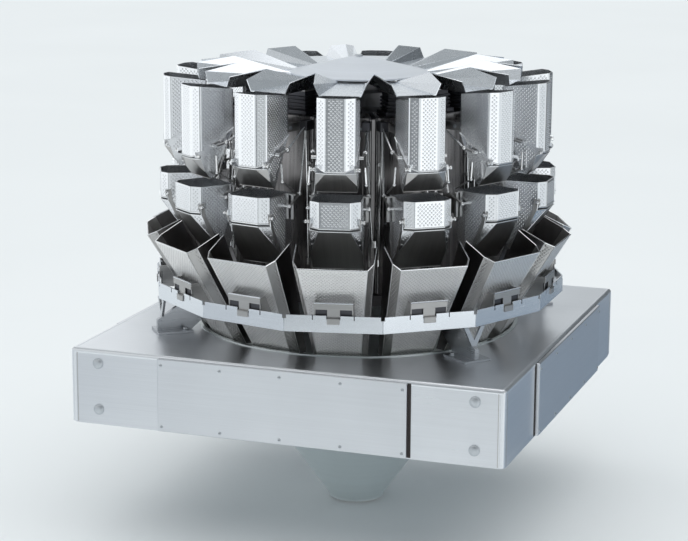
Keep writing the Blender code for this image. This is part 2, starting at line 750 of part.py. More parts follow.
def cheek_outline(corner_depth, line, hinge_r, hinge_height):
    """The front edge of a gate's cheek, from its tip up to the ear round its pin."""
    top, waist, tip = line
    return [
        tip,
        waist,
        (top[0] - corner_depth, top[1]),
        (hinge_r + EAR_NOSE, hinge_height - EAR_LOW),
        (hinge_r + EAR_NOSE, hinge_height + EAR_LOW),
        (hinge_r - EAR_TOP, hinge_height + EAR_TOP),
    ]


def cheek_pair(profile, width):
    """A gate's two cheeks, just outside its hopper's walls."""
    near, far = width / 2 + GAP, width / 2 + GAP + SHEET
    return [plate_across(profile, -far, -near), plate_across(profile, near, far)]


def knob_pair(width, hinge_r, hinge_height):
    """The pins' knobs on the outside of a gate's cheeks."""
    start = width / 2 + GAP + SHEET / 2
    end = start + KNOB_LENGTH
    return [
        pin(at(side * start, hinge_r, hinge_height), at(side * end, hinge_r, hinge_height), KNOB_RADIUS, KNOB_SIDES)
        for side in (-1, 1)
    ]


def feed_gate():
    """A scoop: the folded front under the hopper, with wide cheeks that lap its side walls."""
    line = feed_gate_line()
    tip = line[-1]
    inner_r = FEED_FRONT_R - FEED_CHEEK_REACH
    wall_low = FEED_LOW + FEED_CHEEK_REACH * math.tan(FEED_SIDE_RISE)
    cheek = cheek_outline(FEED_CORNER_DEPTH, line, FEED_HINGE_R, FEED_HINGE_HEIGHT)
    cheek += [
        (inner_r, wall_low + FEED_CHEEK_LAP),
        (inner_r, wall_low - FEED_CHEEK_RISE),
        (tip[0] - CHEEK_WIDTH, tip[1] + FEED_CHEEK_LAP),
    ]
    parts = [folded_panel(FEED_WIDTH, FEED_FRONT_WIDTH, FEED_CORNER_DEPTH, line), *cheek_pair(cheek, FEED_WIDTH)]
    parts += knob_pair(FEED_WIDTH, FEED_HINGE_R, FEED_HINGE_HEIGHT)
    return about_hinge(joined(parts, "feed_gate"), FEED_HINGE_R, FEED_HINGE_HEIGHT)


def weigh_gate():
    """The folded front under the hopper, with narrow cheeks up to the pins."""
    line = weigh_gate_line()
    top, waist, tip = line
    cheek = cheek_outline(WEIGH_CORNER_DEPTH, line, WEIGH_HINGE_R, WEIGH_HINGE_HEIGHT)
    cheek += [
        (top[0] - WEIGH_CORNER_DEPTH - CHEEK_WIDTH, top[1]),
        (waist[0] - CHEEK_WIDTH, waist[1]),
        (tip[0] - CHEEK_WIDTH, tip[1] + CHEEK_WIDTH),
    ]
    parts = [folded_panel(WEIGH_WIDTH, WEIGH_FRONT_WIDTH, WEIGH_CORNER_DEPTH, line)]
    parts += [*cheek_pair(cheek, WEIGH_WIDTH), *knob_pair(WEIGH_WIDTH, WEIGH_HINGE_R, WEIGH_HINGE_HEIGHT)]
    return about_hinge(joined(parts, "weigh_gate"), WEIGH_HINGE_R, WEIGH_HINGE_HEIGHT)


def about_hinge(mesh, hinge_r, hinge_height):
    """The mesh moved so that its hinge's middle is its origin."""
    mesh.transform(Matrix.Translation(-at(0, hinge_r, hinge_height)))
    return mesh


def feeder_trays():
    """The ring of feeder trays, joined along the ridges between them."""
    floor_half = TRAY_SHOULDER_WIDTH / 2 - TRAY_SHOULDER_HEIGHT * math.tan(TRAY_FLARE)
    shoulder = TRAY_FLOOR + TRAY_SHOULDER_HEIGHT
    own = [
        at(-TRAY_SHOULDER_WIDTH / 2, TRAY_MOUTH_R, shoulder),
        at(-floor_half, TRAY_MOUTH_R, TRAY_FLOOR),
        at(floor_half, TRAY_MOUTH_R, TRAY_FLOOR),
        at(TRAY_SHOULDER_WIDTH / 2, TRAY_MOUTH_R, shoulder),
        at(-TRAY_INNER_WIDTH / 2, TRAY_INNER_R, TRAY_FLOOR),
        at(TRAY_INNER_WIDTH / 2, TRAY_INNER_R, TRAY_FLOOR),
    ]
    ridge = [at(0, RIDGE_OUTER_R, TRAY_FLOOR + RIDGE_HEIGHT), at(0, RIDGE_INNER_R, TRAY_FLOOR + RIDGE_FOOT)]
    points, faces = [], []
    each = len(own) + len(ridge)
    for index in range(HEADS):
        points += [turned(head_angle(index)) @ point for point in own]
        points += [turned(head_angle(index) + HALF_PITCH) @ point for point in ridge]
        left, start = each * ((index - 1) % HEADS) + len(own), each * index
        right = start + len(own)
        faces += [
            (start + 1, start + 2, start + 5, start + 4),
            (start, start + 1, start + 4),
            (start + 2, start + 3, start + 5),
            (left, start, start + 4, left + 1),
            (start + 3, right, right + 1, start + 5),
        ]
    return thickened(faces, points, SHEET, "feeder_trays")


def dispersion_cone():
    """The round cone with its rolled hem, on a hub over the central body."""
    apex = CONE_EDGE + CONE_RADIUS * math.tan(CONE_SLOPE)
    hem = [
        (CONE_RADIUS + CONE_HEM_RADIUS * math.sin(a), CONE_EDGE - CONE_HEM_RADIUS * math.cos(a))
        for a in (CONE_HEM_START + step * CONE_HEM_STEP for step in range(CONE_HEM_POINTS))
    ]
    under = CONE_EDGE - SHEET - CONE_HEM_RADIUS
    inner = [
        (0, CONE_EDGE - CONE_HEM_RADIUS),
        (CONE_HUB_RADIUS, CONE_EDGE - CONE_HEM_RADIUS),
        (CONE_HUB_RADIUS, under + (CONE_RADIUS - CONE_HUB_RADIUS) * math.tan(CONE_SLOPE) + SHEET),
    ]
    return spun([(0, apex), *reversed(hem), *reversed(inner)], CONE_SIDES, "dispersion_cone")


def add(name, mesh, finish, parent, location=(0, 0, 0), turn=0.0):
    """One named piece of the machine, on the empty at its centre."""
    made = bpy.data.objects.new(name, mesh)
    made.location = location
    made.rotation_euler = (0, 0, turn)
    made.parent = parent
    if not mesh.materials:
        mesh.materials.append(finish)
    bpy.context.scene.collection.objects.link(made)
    return made


def build_base(centre, finishes):
    add("base_housing", base_housing(), finishes["brushed"], centre)
    front = cover(COVER_WIDTH, 0.0, "front_cover")
    add("front_cover", front, finishes["cover"], centre)
    add("back_cover", front, finishes["cover"], centre, turn=math.pi)
    right = cover(SIDE_COVER_WIDTH, SIDE_COVER_SHIFT, "right_cover")
    left = cover(SIDE_COVER_WIDTH, -SIDE_COVER_SHIFT, "left_cover")
    add("right_cover", right, finishes["cover"], centre, turn=math.pi / 2)
    add("left_cover", left, finishes["cover"], centre, turn=-math.pi / 2)
    add("collecting_funnel", collecting_funnel(), finishes["brushed"], centre)


def build_middle(centre, finishes):
    for side, indices in ring_groups().items():
        name = f"chute_ring_{side}"
        add(name, chute_group(indices, name), finishes["embossed"], centre)
    leg = support_leg()
    for number, group in enumerate(ring_groups().values(), 1):
        turn = head_angle(group[-1]) + HALF_PITCH
        add(f"support_leg_{number}", leg, finishes["brushed"], centre, turn=turn)
    add("central_body", central_body(), finishes["dark"], centre)


def build_heads(centre, finishes):
    head, feed, weigh = weighing_head(), feed_gate(), weigh_gate()
    for index in range(HEADS):
        turn = head_angle(index)
        number = f"{index + 1:02d}"
        add(f"weighing_head_{number}", head, finishes["embossed"], centre, turn=turn)
        feed_at = turned(turn) @ at(0, FEED_HINGE_R, FEED_HINGE_HEIGHT)
        add(f"feed_gate_{number}", feed, finishes["gate"], centre, feed_at, turn)
        weigh_at = turned(turn) @ at(0, WEIGH_HINGE_R, WEIGH_HINGE_HEIGHT)
        add(f"weigh_gate_{number}", weigh, finishes["gate"], centre, weigh_at, turn)


def build_top(centre, finishes):
    add("feeder_trays", feeder_trays(), finishes["polished"], centre)
    add("dispersion_cone", dispersion_cone(), finishes["polished"], centre)


def main():
    for old in list(bpy.data.objects):
        bpy.data.objects.remove(old)
    finishes = {
        "brushed": material("brushed_steel", (0.60, 0.62, 0.66), 0.35, 0.9),
        "cover": material("cover_steel", (0.56, 0.58, 0.61), 0.40, 0.9),
        "embossed": material("embossed_steel", (0.66, 0.66, 0.65), 0.30, 0.9),
        "gate": material("gate_steel", (0.42, 0.41, 0.40), 0.38, 0.9),
        "polished": material("polished_steel", (0.78, 0.79, 0.80), 0.20, 0.9),
        "dark": material("body_steel", (0.30, 0.31, 0.33), 0.45, 0.8),
    }
    centre = bpy.data.objects.new("machine_centre", None)
    centre.location = (PAD_SPACING / 2, PAD_SPACING / 2, BASE_HEIGHT + PAD_HEIGHT)
    bpy.context.scene.collection.objects.link(centre)
    build_base(centre, finishes)
    build_middle(centre, finishes)
    build_heads(centre, finishes)
    build_top(centre, finishes)
    bpy.context.view_layer.update()


main()
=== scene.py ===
"""The finished look of the multihead weigher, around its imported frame.

Each class below builds one sub-assembly: it takes its place from the frame's own sizes, makes its
sheet, rods and fasteners with bmesh, and gives every piece its steel. Shapes are drawn in the
machine's own frame, with the deck at height zero and the vertical axis at x = y = 0. A head is
drawn facing the front, where x runs to the right and r is the distance from the axis.
"""

import logging
import math
from collections.abc import Iterable, Iterator, Sequence
from dataclasses import dataclass
from enum import Enum

import bmesh
import bpy
from mathutils import Matrix, Vector

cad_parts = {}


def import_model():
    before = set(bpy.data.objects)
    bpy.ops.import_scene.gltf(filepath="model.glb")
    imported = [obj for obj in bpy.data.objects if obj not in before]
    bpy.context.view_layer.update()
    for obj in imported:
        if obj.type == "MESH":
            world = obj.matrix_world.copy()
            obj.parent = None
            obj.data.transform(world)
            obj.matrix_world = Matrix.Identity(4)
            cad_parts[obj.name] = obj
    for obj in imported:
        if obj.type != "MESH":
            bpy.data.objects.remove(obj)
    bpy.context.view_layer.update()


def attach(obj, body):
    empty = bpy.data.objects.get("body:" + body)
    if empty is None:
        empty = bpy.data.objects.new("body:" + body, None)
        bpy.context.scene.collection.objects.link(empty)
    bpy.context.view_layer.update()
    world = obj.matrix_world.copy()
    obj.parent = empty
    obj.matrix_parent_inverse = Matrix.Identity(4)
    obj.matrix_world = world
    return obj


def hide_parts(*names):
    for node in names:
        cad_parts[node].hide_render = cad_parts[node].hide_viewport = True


logging.basicConfig(level=logging.INFO, format="%(message)s")
log = logging.getLogger("weigher")

HEADS = 14
PITCH = math.tau / HEADS
CENTRE = Vector((0.43, 0.43, 0.196))
FRAME_BODY = "machine_frame"
SURFACE_MAP = "surface"
UP = Vector((0, 0, 1))
SMOOTH_BELOW = math.radians(35)
BROAD_SHARE = 0.16
MERGE = 0.00002

Span = tuple[float, float]
Triple = tuple[float, float, float]
Profile = Sequence[Span]
Shape = bmesh.types.BMesh
Socket = bpy.types.NodeSocket


def at(x: float, r: float, z: float) -> Vector:
    """Gives a point of the head that faces the front."""
    return Vector((x, -r, z))


def rising(first: float, second: float) -> Span:
    """Gives two values as a span, the lower one first."""
    return min(first, second), max(first, second)


def head_turn(index: int) -> float:
    """Gives the turn from the front to a head, towards the right."""
    return (index + 0.5) * PITCH


def heads() -> Iterator[tuple[str, float]]:
    """Gives each head's number and its turn from the front."""
    for index in range(HEADS):
        yield f"{index + 1:02d}", head_turn(index)


def turned(angle: float) -> Matrix:
    """Gives the turn about the machine's vertical axis."""
    return Matrix.Rotation(angle, 4, "Z")


def verts_of(geom: Iterable[object]) -> list[bmesh.types.BMVert]:
    """Picks the vertices out of what a bmesh operator returns."""
    return [part for part in geom if isinstance(part, bmesh.types.BMVert)]

class Nodes:
    """A node tree, with short calls that add nodes and join them."""

    def __init__(self, tree: bpy.types.NodeTree) -> None:
        """Keeps the tree to add to."""
        self.tree = tree

    def add(self, kind: str, values: dict | None = None, **settings: object) -> bpy.types.Node:
        """Adds a node.

        Args:
            kind: The node's type, without its ShaderNode prefix.
            values: What its input sockets hold, or the output sockets that feed them.
            **settings: The node's own properties.

        Returns:
            The new node.
        """
        node = self.tree.nodes.new("ShaderNode" + kind)
        for name, value in settings.items():
            setattr(node, name, value)
        for name, value in (values or {}).items():
            if isinstance(value, Socket):
                self.tree.links.new(value, node.inputs[name])
            else:
                node.inputs[name].default_value = value
        return node

    def sums(self, operation: str, *values: object) -> Socket:
        """Adds a Math node over numbers or sockets and returns its output."""
        return self.add("Math", dict(enumerate(values)), operation=operation).outputs[0]

    def blend(self, first: Socket, share: float, second: Socket) -> Socket:
        """Adds a share of one value and the rest of another."""
        return self.sums("ADD", self.sums("MULTIPLY", first, share), self.sums("MULTIPLY", second, 1 - share))

    def vector(self, operation: str, *values: object) -> bpy.types.Node:
        """Adds a Vector Math node over vectors or sockets."""
        return self.add("VectorMath", dict(enumerate(values)), operation=operation)

    def spread(self, value: Socket, low: float, high: float) -> Socket:
        """Stretches a texture's middle values over a range and clamps them to it."""
        limits = {"Value": value, "From Min": 0.3, "From Max": 0.7, "To Min": low, "To Max": high}
        return self.add("MapRange", limits).outputs[0]


class Grain(Enum):
    """How the brushing of a steel surface runs."""

    LEVEL = "level"
    UPRIGHT = "upright"
    PLATE = "plate"
    ROUND = "round"
    FINE = "fine"


@dataclass(frozen=True)
class Steel:
    """A stainless steel finish.

    The grain is drawn on the piece's own surface map, in metres, or on Object coordinates for
    the solids of the frame, which have no map.
    """

    name: str
    tint: Triple
    roughness: float
    grain: Grain = Grain.LEVEL
    streak: float = 0.10
    wave: float = 0.0006

    def material(self) -> bpy.types.Material:
        """Makes the material once and returns it after that."""
        found = bpy.data.materials.get(self.name)
        if found:
            return found
        made = bpy.data.materials.new(self.name)
        made.use_nodes = True
        nodes = Nodes(made.node_tree)
        shader = made.node_tree.nodes["Principled BSDF"]
        place = self._place(nodes)
        fine, broad = self._brushing(nodes, place)
        cloud = nodes.add("TexNoise", {"Vector": place, "Scale": 9.0, "Detail": 3.0}).outputs["Fac"]
        shade = nodes.blend(fine, 0.55, broad)
        light = tuple(min(1.0, c * (1 + self.streak)) for c in self.tint)
        dark = tuple(c * (1 - self.streak) for c in self.tint)
        ramp = nodes.add("ValToRGB", {"Fac": shade})
        for stop, place_on, colour in zip(ramp.color_ramp.elements, (0.32, 0.68), (dark, light)):
            stop.position, stop.color = place_on, (*colour, 1.0)
        shader.inputs["Metallic"].default_value = 1.0
        made.node_tree.links.new(ramp.outputs["Color"], shader.inputs["Base Color"])
        low, high = self.roughness * 0.80, self.roughness * 1.25
        rough = nodes.spread(nodes.blend(shade, 0.6, cloud), low, high)
        made.node_tree.links.new(rough, shader.inputs["Roughness"])
        bump = nodes.add("Bump", {"Strength": 0.35, "Distance": self.wave, "Height": cloud}).outputs[0]
        scratches = {"Strength": 0.14, "Distance": 0.00008, "Height": fine, "Normal": bump}
        brushed = nodes.add("Bump", scratches)
        made.node_tree.links.new(brushed.outputs[0], shader.inputs["Normal"])
        made.diffuse_color = (*self.tint, 1.0)
        return made

    def _place(self, nodes: Nodes) -> Socket:
        """Gives the coordinates that the grain is drawn on."""
        if self.grain in (Grain.LEVEL, Grain.UPRIGHT):
            return nodes.add("UVMap", uv_map=SURFACE_MAP).outputs["UV"]
        return nodes.add("TexCoord").outputs["Object"]

    def _brushing(self, nodes: Nodes, place: Socket) -> tuple[Socket, Socket]:
        """Draws the brush lines.

        Args:
            nodes: The material's nodes.
            place: The coordinates in metres.

        Returns:
            The fine lines and the broad streaks, both about 0 to 1.
        """
        if self.grain is Grain.ROUND:
            shifted = nodes.vector("SUBTRACT", place, tuple(CENTRE)).outputs[0]
            flat = nodes.vector("MULTIPLY", shifted, (1.0, 1.0, 0.0)).outputs[0]
            across = nodes.vector("LENGTH", flat).outputs["Value"]
            rise = nodes.add("SeparateXYZ", {0: place}).outputs["Z"]
            place = nodes.add("CombineXYZ", {"X": 0.0, "Y": across, "Z": rise}).outputs[0]
        scales = {
            Grain.LEVEL: (7.0, 620.0, 1.0),
            Grain.UPRIGHT: (620.0, 7.0, 1.0),
            Grain.PLATE: (5.0, 5.0, 620.0),
            Grain.ROUND: (1.0, 520.0, 300.0),
            Grain.FINE: (160.0, 160.0, 160.0),
        }
        lines = self._lines(nodes, place, scales[self.grain])
        if self.grain is not Grain.PLATE:
            return lines
        level = nodes.add("SeparateXYZ", {0: nodes.add("NewGeometry").outputs["Normal"]}).outputs["Z"]
        deck = nodes.sums("GREATER_THAN", nodes.sums("ABSOLUTE", level), 0.7)
        sideways = self._lines(nodes, place, (5.0, 620.0, 5.0))
        fine, broad = (
            nodes.add("Mix", {0: deck, 2: first, 3: second}, data_type="FLOAT").outputs[0]
            for first, second in zip(lines, sideways)
        )
        return fine, broad

    def _lines(self, nodes: Nodes, place: Socket, scale: Triple) -> tuple[Socket, Socket]:
        """Draws fine and broad noise that is stretched along the brushing."""
        made = []
        for share in (1.0, BROAD_SHARE):
            stretched = nodes.add("Mapping", {"Vector": place, "Scale": Vector(scale) * share}).outputs[0]
            noise = nodes.add("TexNoise", {"Vector": stretched, "Scale": 1.0, "Detail": 3.0})
            made.append(noise.outputs["Fac"])
        return made[0], made[1]


HOPPER = Steel("hopper_steel", (0.84, 0.85, 0.87), 0.22, Grain.UPRIGHT, streak=0.04)
HEM = Steel("hem_steel", (0.90, 0.91, 0.92), 0.20, Grain.UPRIGHT, streak=0.04)
CHUTE = Steel("chute_steel", (0.90, 0.89, 0.88), 0.37, Grain.UPRIGHT, streak=0.05)
# Darker copies of the chute steel: painted shade in the dimples, on the folded strips and on the side walls.
CHUTE_DIMPLE_SHADE = Steel("chute_dimple_painted_shade_steel", (0.74, 0.73, 0.72), 0.30, Grain.UPRIGHT, streak=0.05)
CHUTE_STRIP_SHADE = Steel("chute_strip_painted_shade_steel", (0.56, 0.55, 0.54), 0.34, Grain.UPRIGHT, streak=0.05)
CHUTE_WALL_SHADE = Steel("chute_wall_painted_shade_steel", (0.20, 0.19, 0.19), 0.32, Grain.UPRIGHT, streak=0.05)
GATE = Steel("gate_panel_steel", (0.53, 0.52, 0.51), 0.34, Grain.UPRIGHT)
RAIL = Steel("rail_steel", (0.78, 0.81, 0.85), 0.24, Grain.LEVEL, streak=0.04)
# Darkened as painted shade for the clips that hang in shadow above the rail; the rods, hangers and seams
# share it.
BRACKET_SHADE = Steel("bracket_painted_shade_steel", (0.46, 0.455, 0.45), 0.34, Grain.LEVEL)
ROD = Steel("rod_steel", (0.88, 0.88, 0.88), 0.16, Grain.UPRIGHT, streak=0.05)
CASING = Steel("casing_steel", (0.25, 0.24, 0.24), 0.28, Grain.UPRIGHT, streak=0.55)
# The drive's own dark steel, also laid in screw slots, rail slits and under each clip as painted shade.
DRIVE_AND_SHADE = Steel("drive_and_painted_shade_steel", (0.10, 0.10, 0.11), 0.42, Grain.UPRIGHT)
HOUSING = Steel("housing_steel", (0.78, 0.80, 0.83), 0.32, Grain.PLATE, streak=0.035)
# Lighter than the housing steel: a painted highlight on the round rolled edges.
ROLL_HIGHLIGHT = Steel("rolled_edge_highlight_steel", (0.88, 0.90, 0.93), 0.34, Grain.PLATE, streak=0.02)
COVER = Steel("cover_plate_steel", (0.74, 0.76, 0.79), 0.34, Grain.PLATE, streak=0.035)
# Painted shadow: dark strips laid where the gaps round the covers fall in shade.
SHADOW_GAP = Steel("painted_shadow_gap_steel", (0.08, 0.07, 0.07), 0.55, Grain.PLATE)
FUNNEL = Steel("funnel_steel", (0.92, 0.97, 0.97), 0.34, Grain.ROUND, streak=0.02, wave=0.0002)
# Darkened as painted shade for the legs' shaded webs.
LEG_SHADE = Steel("leg_painted_shade_steel", (0.56, 0.58, 0.61), 0.28, Grain.PLATE, streak=0.05)
BODY = Steel("core_steel", (0.24, 0.24, 0.25), 0.42, Grain.PLATE)
TRAY = Steel("tray_steel", (0.90, 0.93, 0.97), 0.26, Grain.FINE, streak=0.03)
CONE = Steel("cone_steel", (0.86, 0.89, 0.94), 0.34, Grain.ROUND, streak=0.05, wave=0.0003)
BOLT = Steel("bolt_steel", (0.62, 0.65, 0.68), 0.42, Grain.LEVEL, streak=0.05)


@dataclass(frozen=True)
class Embossing:
    """The dimples pressed into a sheet: rows half a pitch apart, each shifted by half a pitch."""

    pitch: float = 0.0096
    radius: float = 0.0027
    rise: float = 0.0009
    crown: float = 0.42
    sink: float = 0.0001
    sides: int = 6

    def press(self, corners: Sequence[Vector], inside: Vector, margin: float = 0.0048) -> Shape:
        """Presses dimples into a flat panel.

        Args:
            corners: The panel's corners, a flat outline without dents.
            inside: A point behind the panel.
            margin: The least distance from a dimple's middle to the panel's edge.

        Returns:
            The dimples as small closed domes on the panel's outer side.
        """
        bm = bmesh.new()
        middle = sum(corners, Vector()) / len(corners)
        normal = (corners[1] - corners[0]).cross(corners[2] - corners[0]).normalized()
        if normal.dot(middle - inside) < 0:
            normal.negate()
        across = UP.cross(normal).normalized()
        along = normal.cross(across)
        turn = normal.to_track_quat("Z", "Y").to_matrix().to_4x4()
        reach = max((corner - middle).length for corner in corners)
        steps = math.ceil(reach / self.pitch)
        for shift in (0.0, 0.5):
            for i in range(-steps, steps + 1):
                for j in range(-steps, steps + 1):
                    spot = middle + across * (i + shift) * self.pitch + along * (j + shift) * self.pitch
                    if self._clear(spot, corners, middle, normal, margin):
                        place = Matrix.Translation(spot + normal * (self.rise / 2 - self.sink)) @ turn
                        bmesh.ops.create_cone(
                            bm,
                            cap_ends=True,
                            segments=self.sides,
                            radius1=self.radius,
                            radius2=self.radius * self.crown,
                            depth=self.rise,
                            matrix=place,
                        )
        return bm

    def _clear(
        self, spot: Vector, corners: Sequence[Vector], middle: Vector, normal: Vector, margin: float
    ) -> bool:
        """Says whether a spot lies far enough inside every edge of the panel."""
        for start, end in zip(corners, [*corners[1:], corners[0]]):
            inwards = normal.cross(end - start).normalized()
            if inwards.dot(middle - start) < 0:
                inwards.negate()
            if inwards.dot(spot - start) < margin:
                return False
        return True


EMBOSSING = Embossing()
DEEP_EMBOSSING = Embossing(radius=0.0025, rise=0.0010)


def smoothed(bm: Shape, faces: Iterable[bmesh.types.BMFace] | None = None) -> Shape:
    """Shades faces round, or all of them; the other faces of a shape stay flat."""
    for face in bm.faces if faces is None else faces:
        face.smooth = True
    return bm


def cylinder(start: Vector, end: Vector, radius: float, sides: int) -> Shape:
    """Makes a round bar between two points."""
    bm = bmesh.new()
    axis = end - start
    turn = axis.to_track_quat("Z", "Y").to_matrix().to_4x4()
    bmesh.ops.create_cone(
        bm,
        cap_ends=True,
        segments=sides,
        radius1=radius,
        radius2=radius,
        depth=axis.length,
        matrix=Matrix.Translation((start + end) / 2) @ turn,
    )
    return smoothed(bm)


def ball(middle: Vector, radius: float) -> Shape:
    """Makes a small ball."""
    bm = bmesh.new()
    place = Matrix.Translation(middle)
    bmesh.ops.create_uvsphere(bm, u_segments=10, v_segments=7, radius=radius, matrix=place)
    return smoothed(bm)


def bead(path: Sequence[Vector], radius: float, sides: int = 8) -> Shape:
    """Makes a round bead along a line, with a ball at each bend."""
    whole = bmesh.new()
    for start, end in zip(path, path[1:]):
        merge(whole, cylinder(start, end, radius, sides))
    for bend in path[1:-1]:
        merge(whole, ball(bend, radius))
    return whole


def merge(whole: Shape, shape: Shape) -> None:
    """Adds a shape to a bmesh and frees the shape."""
    held = bpy.data.meshes.new("held")
    shape.to_mesh(held)
    shape.free()
    whole.from_mesh(held)
    bpy.data.meshes.remove(held)


def bent(bm: Shape, edges: list[bmesh.types.BMEdge], radius: float, segments: int) -> Shape:
    """Rounds some edges of a shape and shades their new faces round."""
    made = bmesh.ops.bevel(
        bm,
        geom=edges,
        offset=radius,
        segments=segments,
        profile=0.5,
        affect="EDGES",
        material=-1,
        clamp_overlap=True,
    )
    return smoothed(bm, made["faces"])


def rounded(bm: Shape, radius: float, segments: int = 2, above: float = 0.6) -> Shape:
    """Rounds every edge whose faces meet at more than an angle in radians."""
    edges = [e for e in bm.edges if len(e.link_faces) == 2 and e.calc_face_angle(0) > above]
    return bent(bm, edges, radius, segments) if radius and edges else bm


def slab(xs: Span, rs: Span, zs: Span, radius: float = 0.0) -> Shape:
    """Makes a block between two values of x, r and z, with its edges rounded."""
    bm = bmesh.new()
    low, high = at(xs[0], rs[1], zs[0]), at(xs[1], rs[0], zs[1])
    size = high - low
    matrix = Matrix.Translation((low + high) / 2) @ Matrix.Diagonal((*size, 1))
    bmesh.ops.create_cube(bm, size=1.0, matrix=matrix)
    return rounded(bm, radius)


def prism(points: Sequence[Vector], along: Vector, radius: float = 0.0) -> Shape:
    """Makes the block that a flat outline sweeps along a vector, with its edges rounded."""
    bm = bmesh.new()
    face = bm.faces.new([bm.verts.new(point) for point in points])
    swept = bmesh.ops.extrude_face_region(bm, geom=[face])["geom"]
    bmesh.ops.translate(bm, verts=verts_of(swept), vec=along)
    bmesh.ops.recalc_face_normals(bm, faces=bm.faces)
    return rounded(bm, radius)


def side_plate(profile: Profile, low_x: float, high_x: float, radius: float) -> Shape:
    """Makes a plate whose (r, z) profile stands in a radial plane, with its edges rounded."""
    return prism([at(low_x, r, z) for r, z in profile], Vector((high_x - low_x, 0, 0)), radius)


def front_plate(profile: Profile, inner_r: float, outer_r: float, radius: float) -> Shape:
    """Makes a plate whose (x, z) profile faces outwards, with its edges rounded."""
    return prism([at(x, inner_r, z) for x, z in profile], at(0, outer_r - inner_r, 0), radius)


def lathe(profile: Profile, steps: int) -> Shape:
    """Spins a closed (r, z) profile round the vertical axis, with its poles closed."""
    bm = bmesh.new()
    verts = [bm.verts.new(at(0, r, z)) for r, z in profile]
    pairs = [p for p in zip(verts, verts[1:] + verts[:1]) if any(abs(v.co.y) > MERGE for v in p)]
    edges = [bm.edges.new(pair) for pair in pairs]
    geom, centre = verts + edges, (0, 0, 0)
    bmesh.ops.spin(bm, geom=geom, angle=math.tau, steps=steps, axis=UP, cent=centre, use_merge=True)
    bmesh.ops.remove_doubles(bm, verts=bm.verts, dist=MERGE)
    return smoothed(bm)


def sheet_wall(
    outline: Profile, lows: Sequence[float], highs: Sequence[float], thickness: float, fold: float
) -> Shape:
    """Bends a closed wall of sheet round an (x, r) outline.

    Args:
        outline: Where the sheet bends, seen from above, outer side.
        lows: The height of the lower edge at each bend.
        highs: The height of the upper edge at each bend.
        thickness: The sheet's thickness, inwards.
        fold: How far each bend is rounded.

    Returns:
        The bent sheet.
    """
    bm = bmesh.new()
    verts = [bm.verts.new(at(x, r, z)) for (x, r), z in zip(outline, lows)]
    edges = [bm.edges.new(pair) for pair in zip(verts, verts[1:] + verts[:1])]
    swept = bmesh.ops.extrude_edge_only(bm, edges=edges)["geom"]
    for vert, z in zip(verts_of(swept), highs):
        vert.co.z = z
    bmesh.ops.recalc_face_normals(bm, faces=bm.faces)
    middle = sum((v.co for v in bm.verts), Vector()) / len(bm.verts)
    outwards = sum((f.calc_center_median() - middle).dot(f.normal) * f.calc_area() for f in bm.faces)
    if outwards < 0:
        bmesh.ops.reverse_faces(bm, faces=bm.faces)
    if fold:
        bent(bm, [e for e in bm.edges if len(e.link_faces) == 2], fold, 3)
    bmesh.ops.solidify(bm, geom=list(bm.faces), thickness=thickness)
    return bm


class Piece:
    """One visible piece, gathered from shapes that each have a steel."""

    def __init__(self, name: str) -> None:
        """Starts an empty piece."""
        self.name = name
        self.bm = bmesh.new()
        self.steels: list[Steel] = []

    def add(self, shape: Shape, steel: Steel) -> "Piece":
        """Adds a shape.

        Args:
            shape: The closed shape, which is used up.
            steel: Its finish.

        Returns:
            The piece.
        """
        if steel not in self.steels:
            self.steels.append(steel)
        bmesh.ops.recalc_face_normals(shape, faces=shape.faces)
        layer = shape.loops.layers.uv.new(SURFACE_MAP)
        for face in shape.faces:
            face.material_index = self.steels.index(steel)
            sideways = UP.cross(face.normal)
            u = sideways.normalized() if sideways.length > 0.05 else Vector((1, 0, 0))
            v = face.normal.cross(u)
            for loop in face.loops:
                loop[layer].uv = (loop.vert.co.dot(u), loop.vert.co.dot(v))
        for edge in shape.edges:
            edge.smooth = edge.calc_face_angle(0) < SMOOTH_BELOW
        merge(self.bm, shape)
        return self

    def mesh(self) -> bpy.types.Mesh:
        """Turns the gathered shapes into a mesh with its materials."""
        made = bpy.data.meshes.new(self.name)
        self.bm.to_mesh(made)
        self.bm.free()
        for steel in self.steels:
            made.materials.append(steel.material())
        return made


def linked(name: str, data: bpy.types.ID) -> bpy.types.Object:
    """Makes an object and links it to the scene."""
    made = bpy.data.objects.new(name, data)
    bpy.context.scene.collection.objects.link(made)
    return made


def show(
    name: str,
    mesh: bpy.types.Mesh,
    body: str = FRAME_BODY,
    nodes: Iterable[str] = (),
    turn: float = 0.0,
) -> bpy.types.Object:
    """Puts a mesh in the row frame as a piece of the machine.

    Args:
        name: The piece's name.
        mesh: Its mesh in the machine's own frame.
        body: The frame body that it moves with.
        nodes: The solids of the frame that it stands for.
        turn: Its turn about the vertical axis.

    Returns:
        The new object, at the origin, with its place in its mesh.
    """
    placed = mesh.copy()
    placed.name = name
    placed.transform(Matrix.Translation(CENTRE) @ turned(turn))
    made = linked(name, placed)
    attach(made, body)
    if nodes:
        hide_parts(*nodes)
    return made


def dress(nodes: Iterable[str], steel: Steel) -> None:
    """Gives solids of the frame a steel."""
    for name in nodes:
        mesh = bpy.data.objects[name].data
        mesh.materials.clear()
        mesh.materials.append(steel.material())
        log.info("%s: %s", name, steel.name)


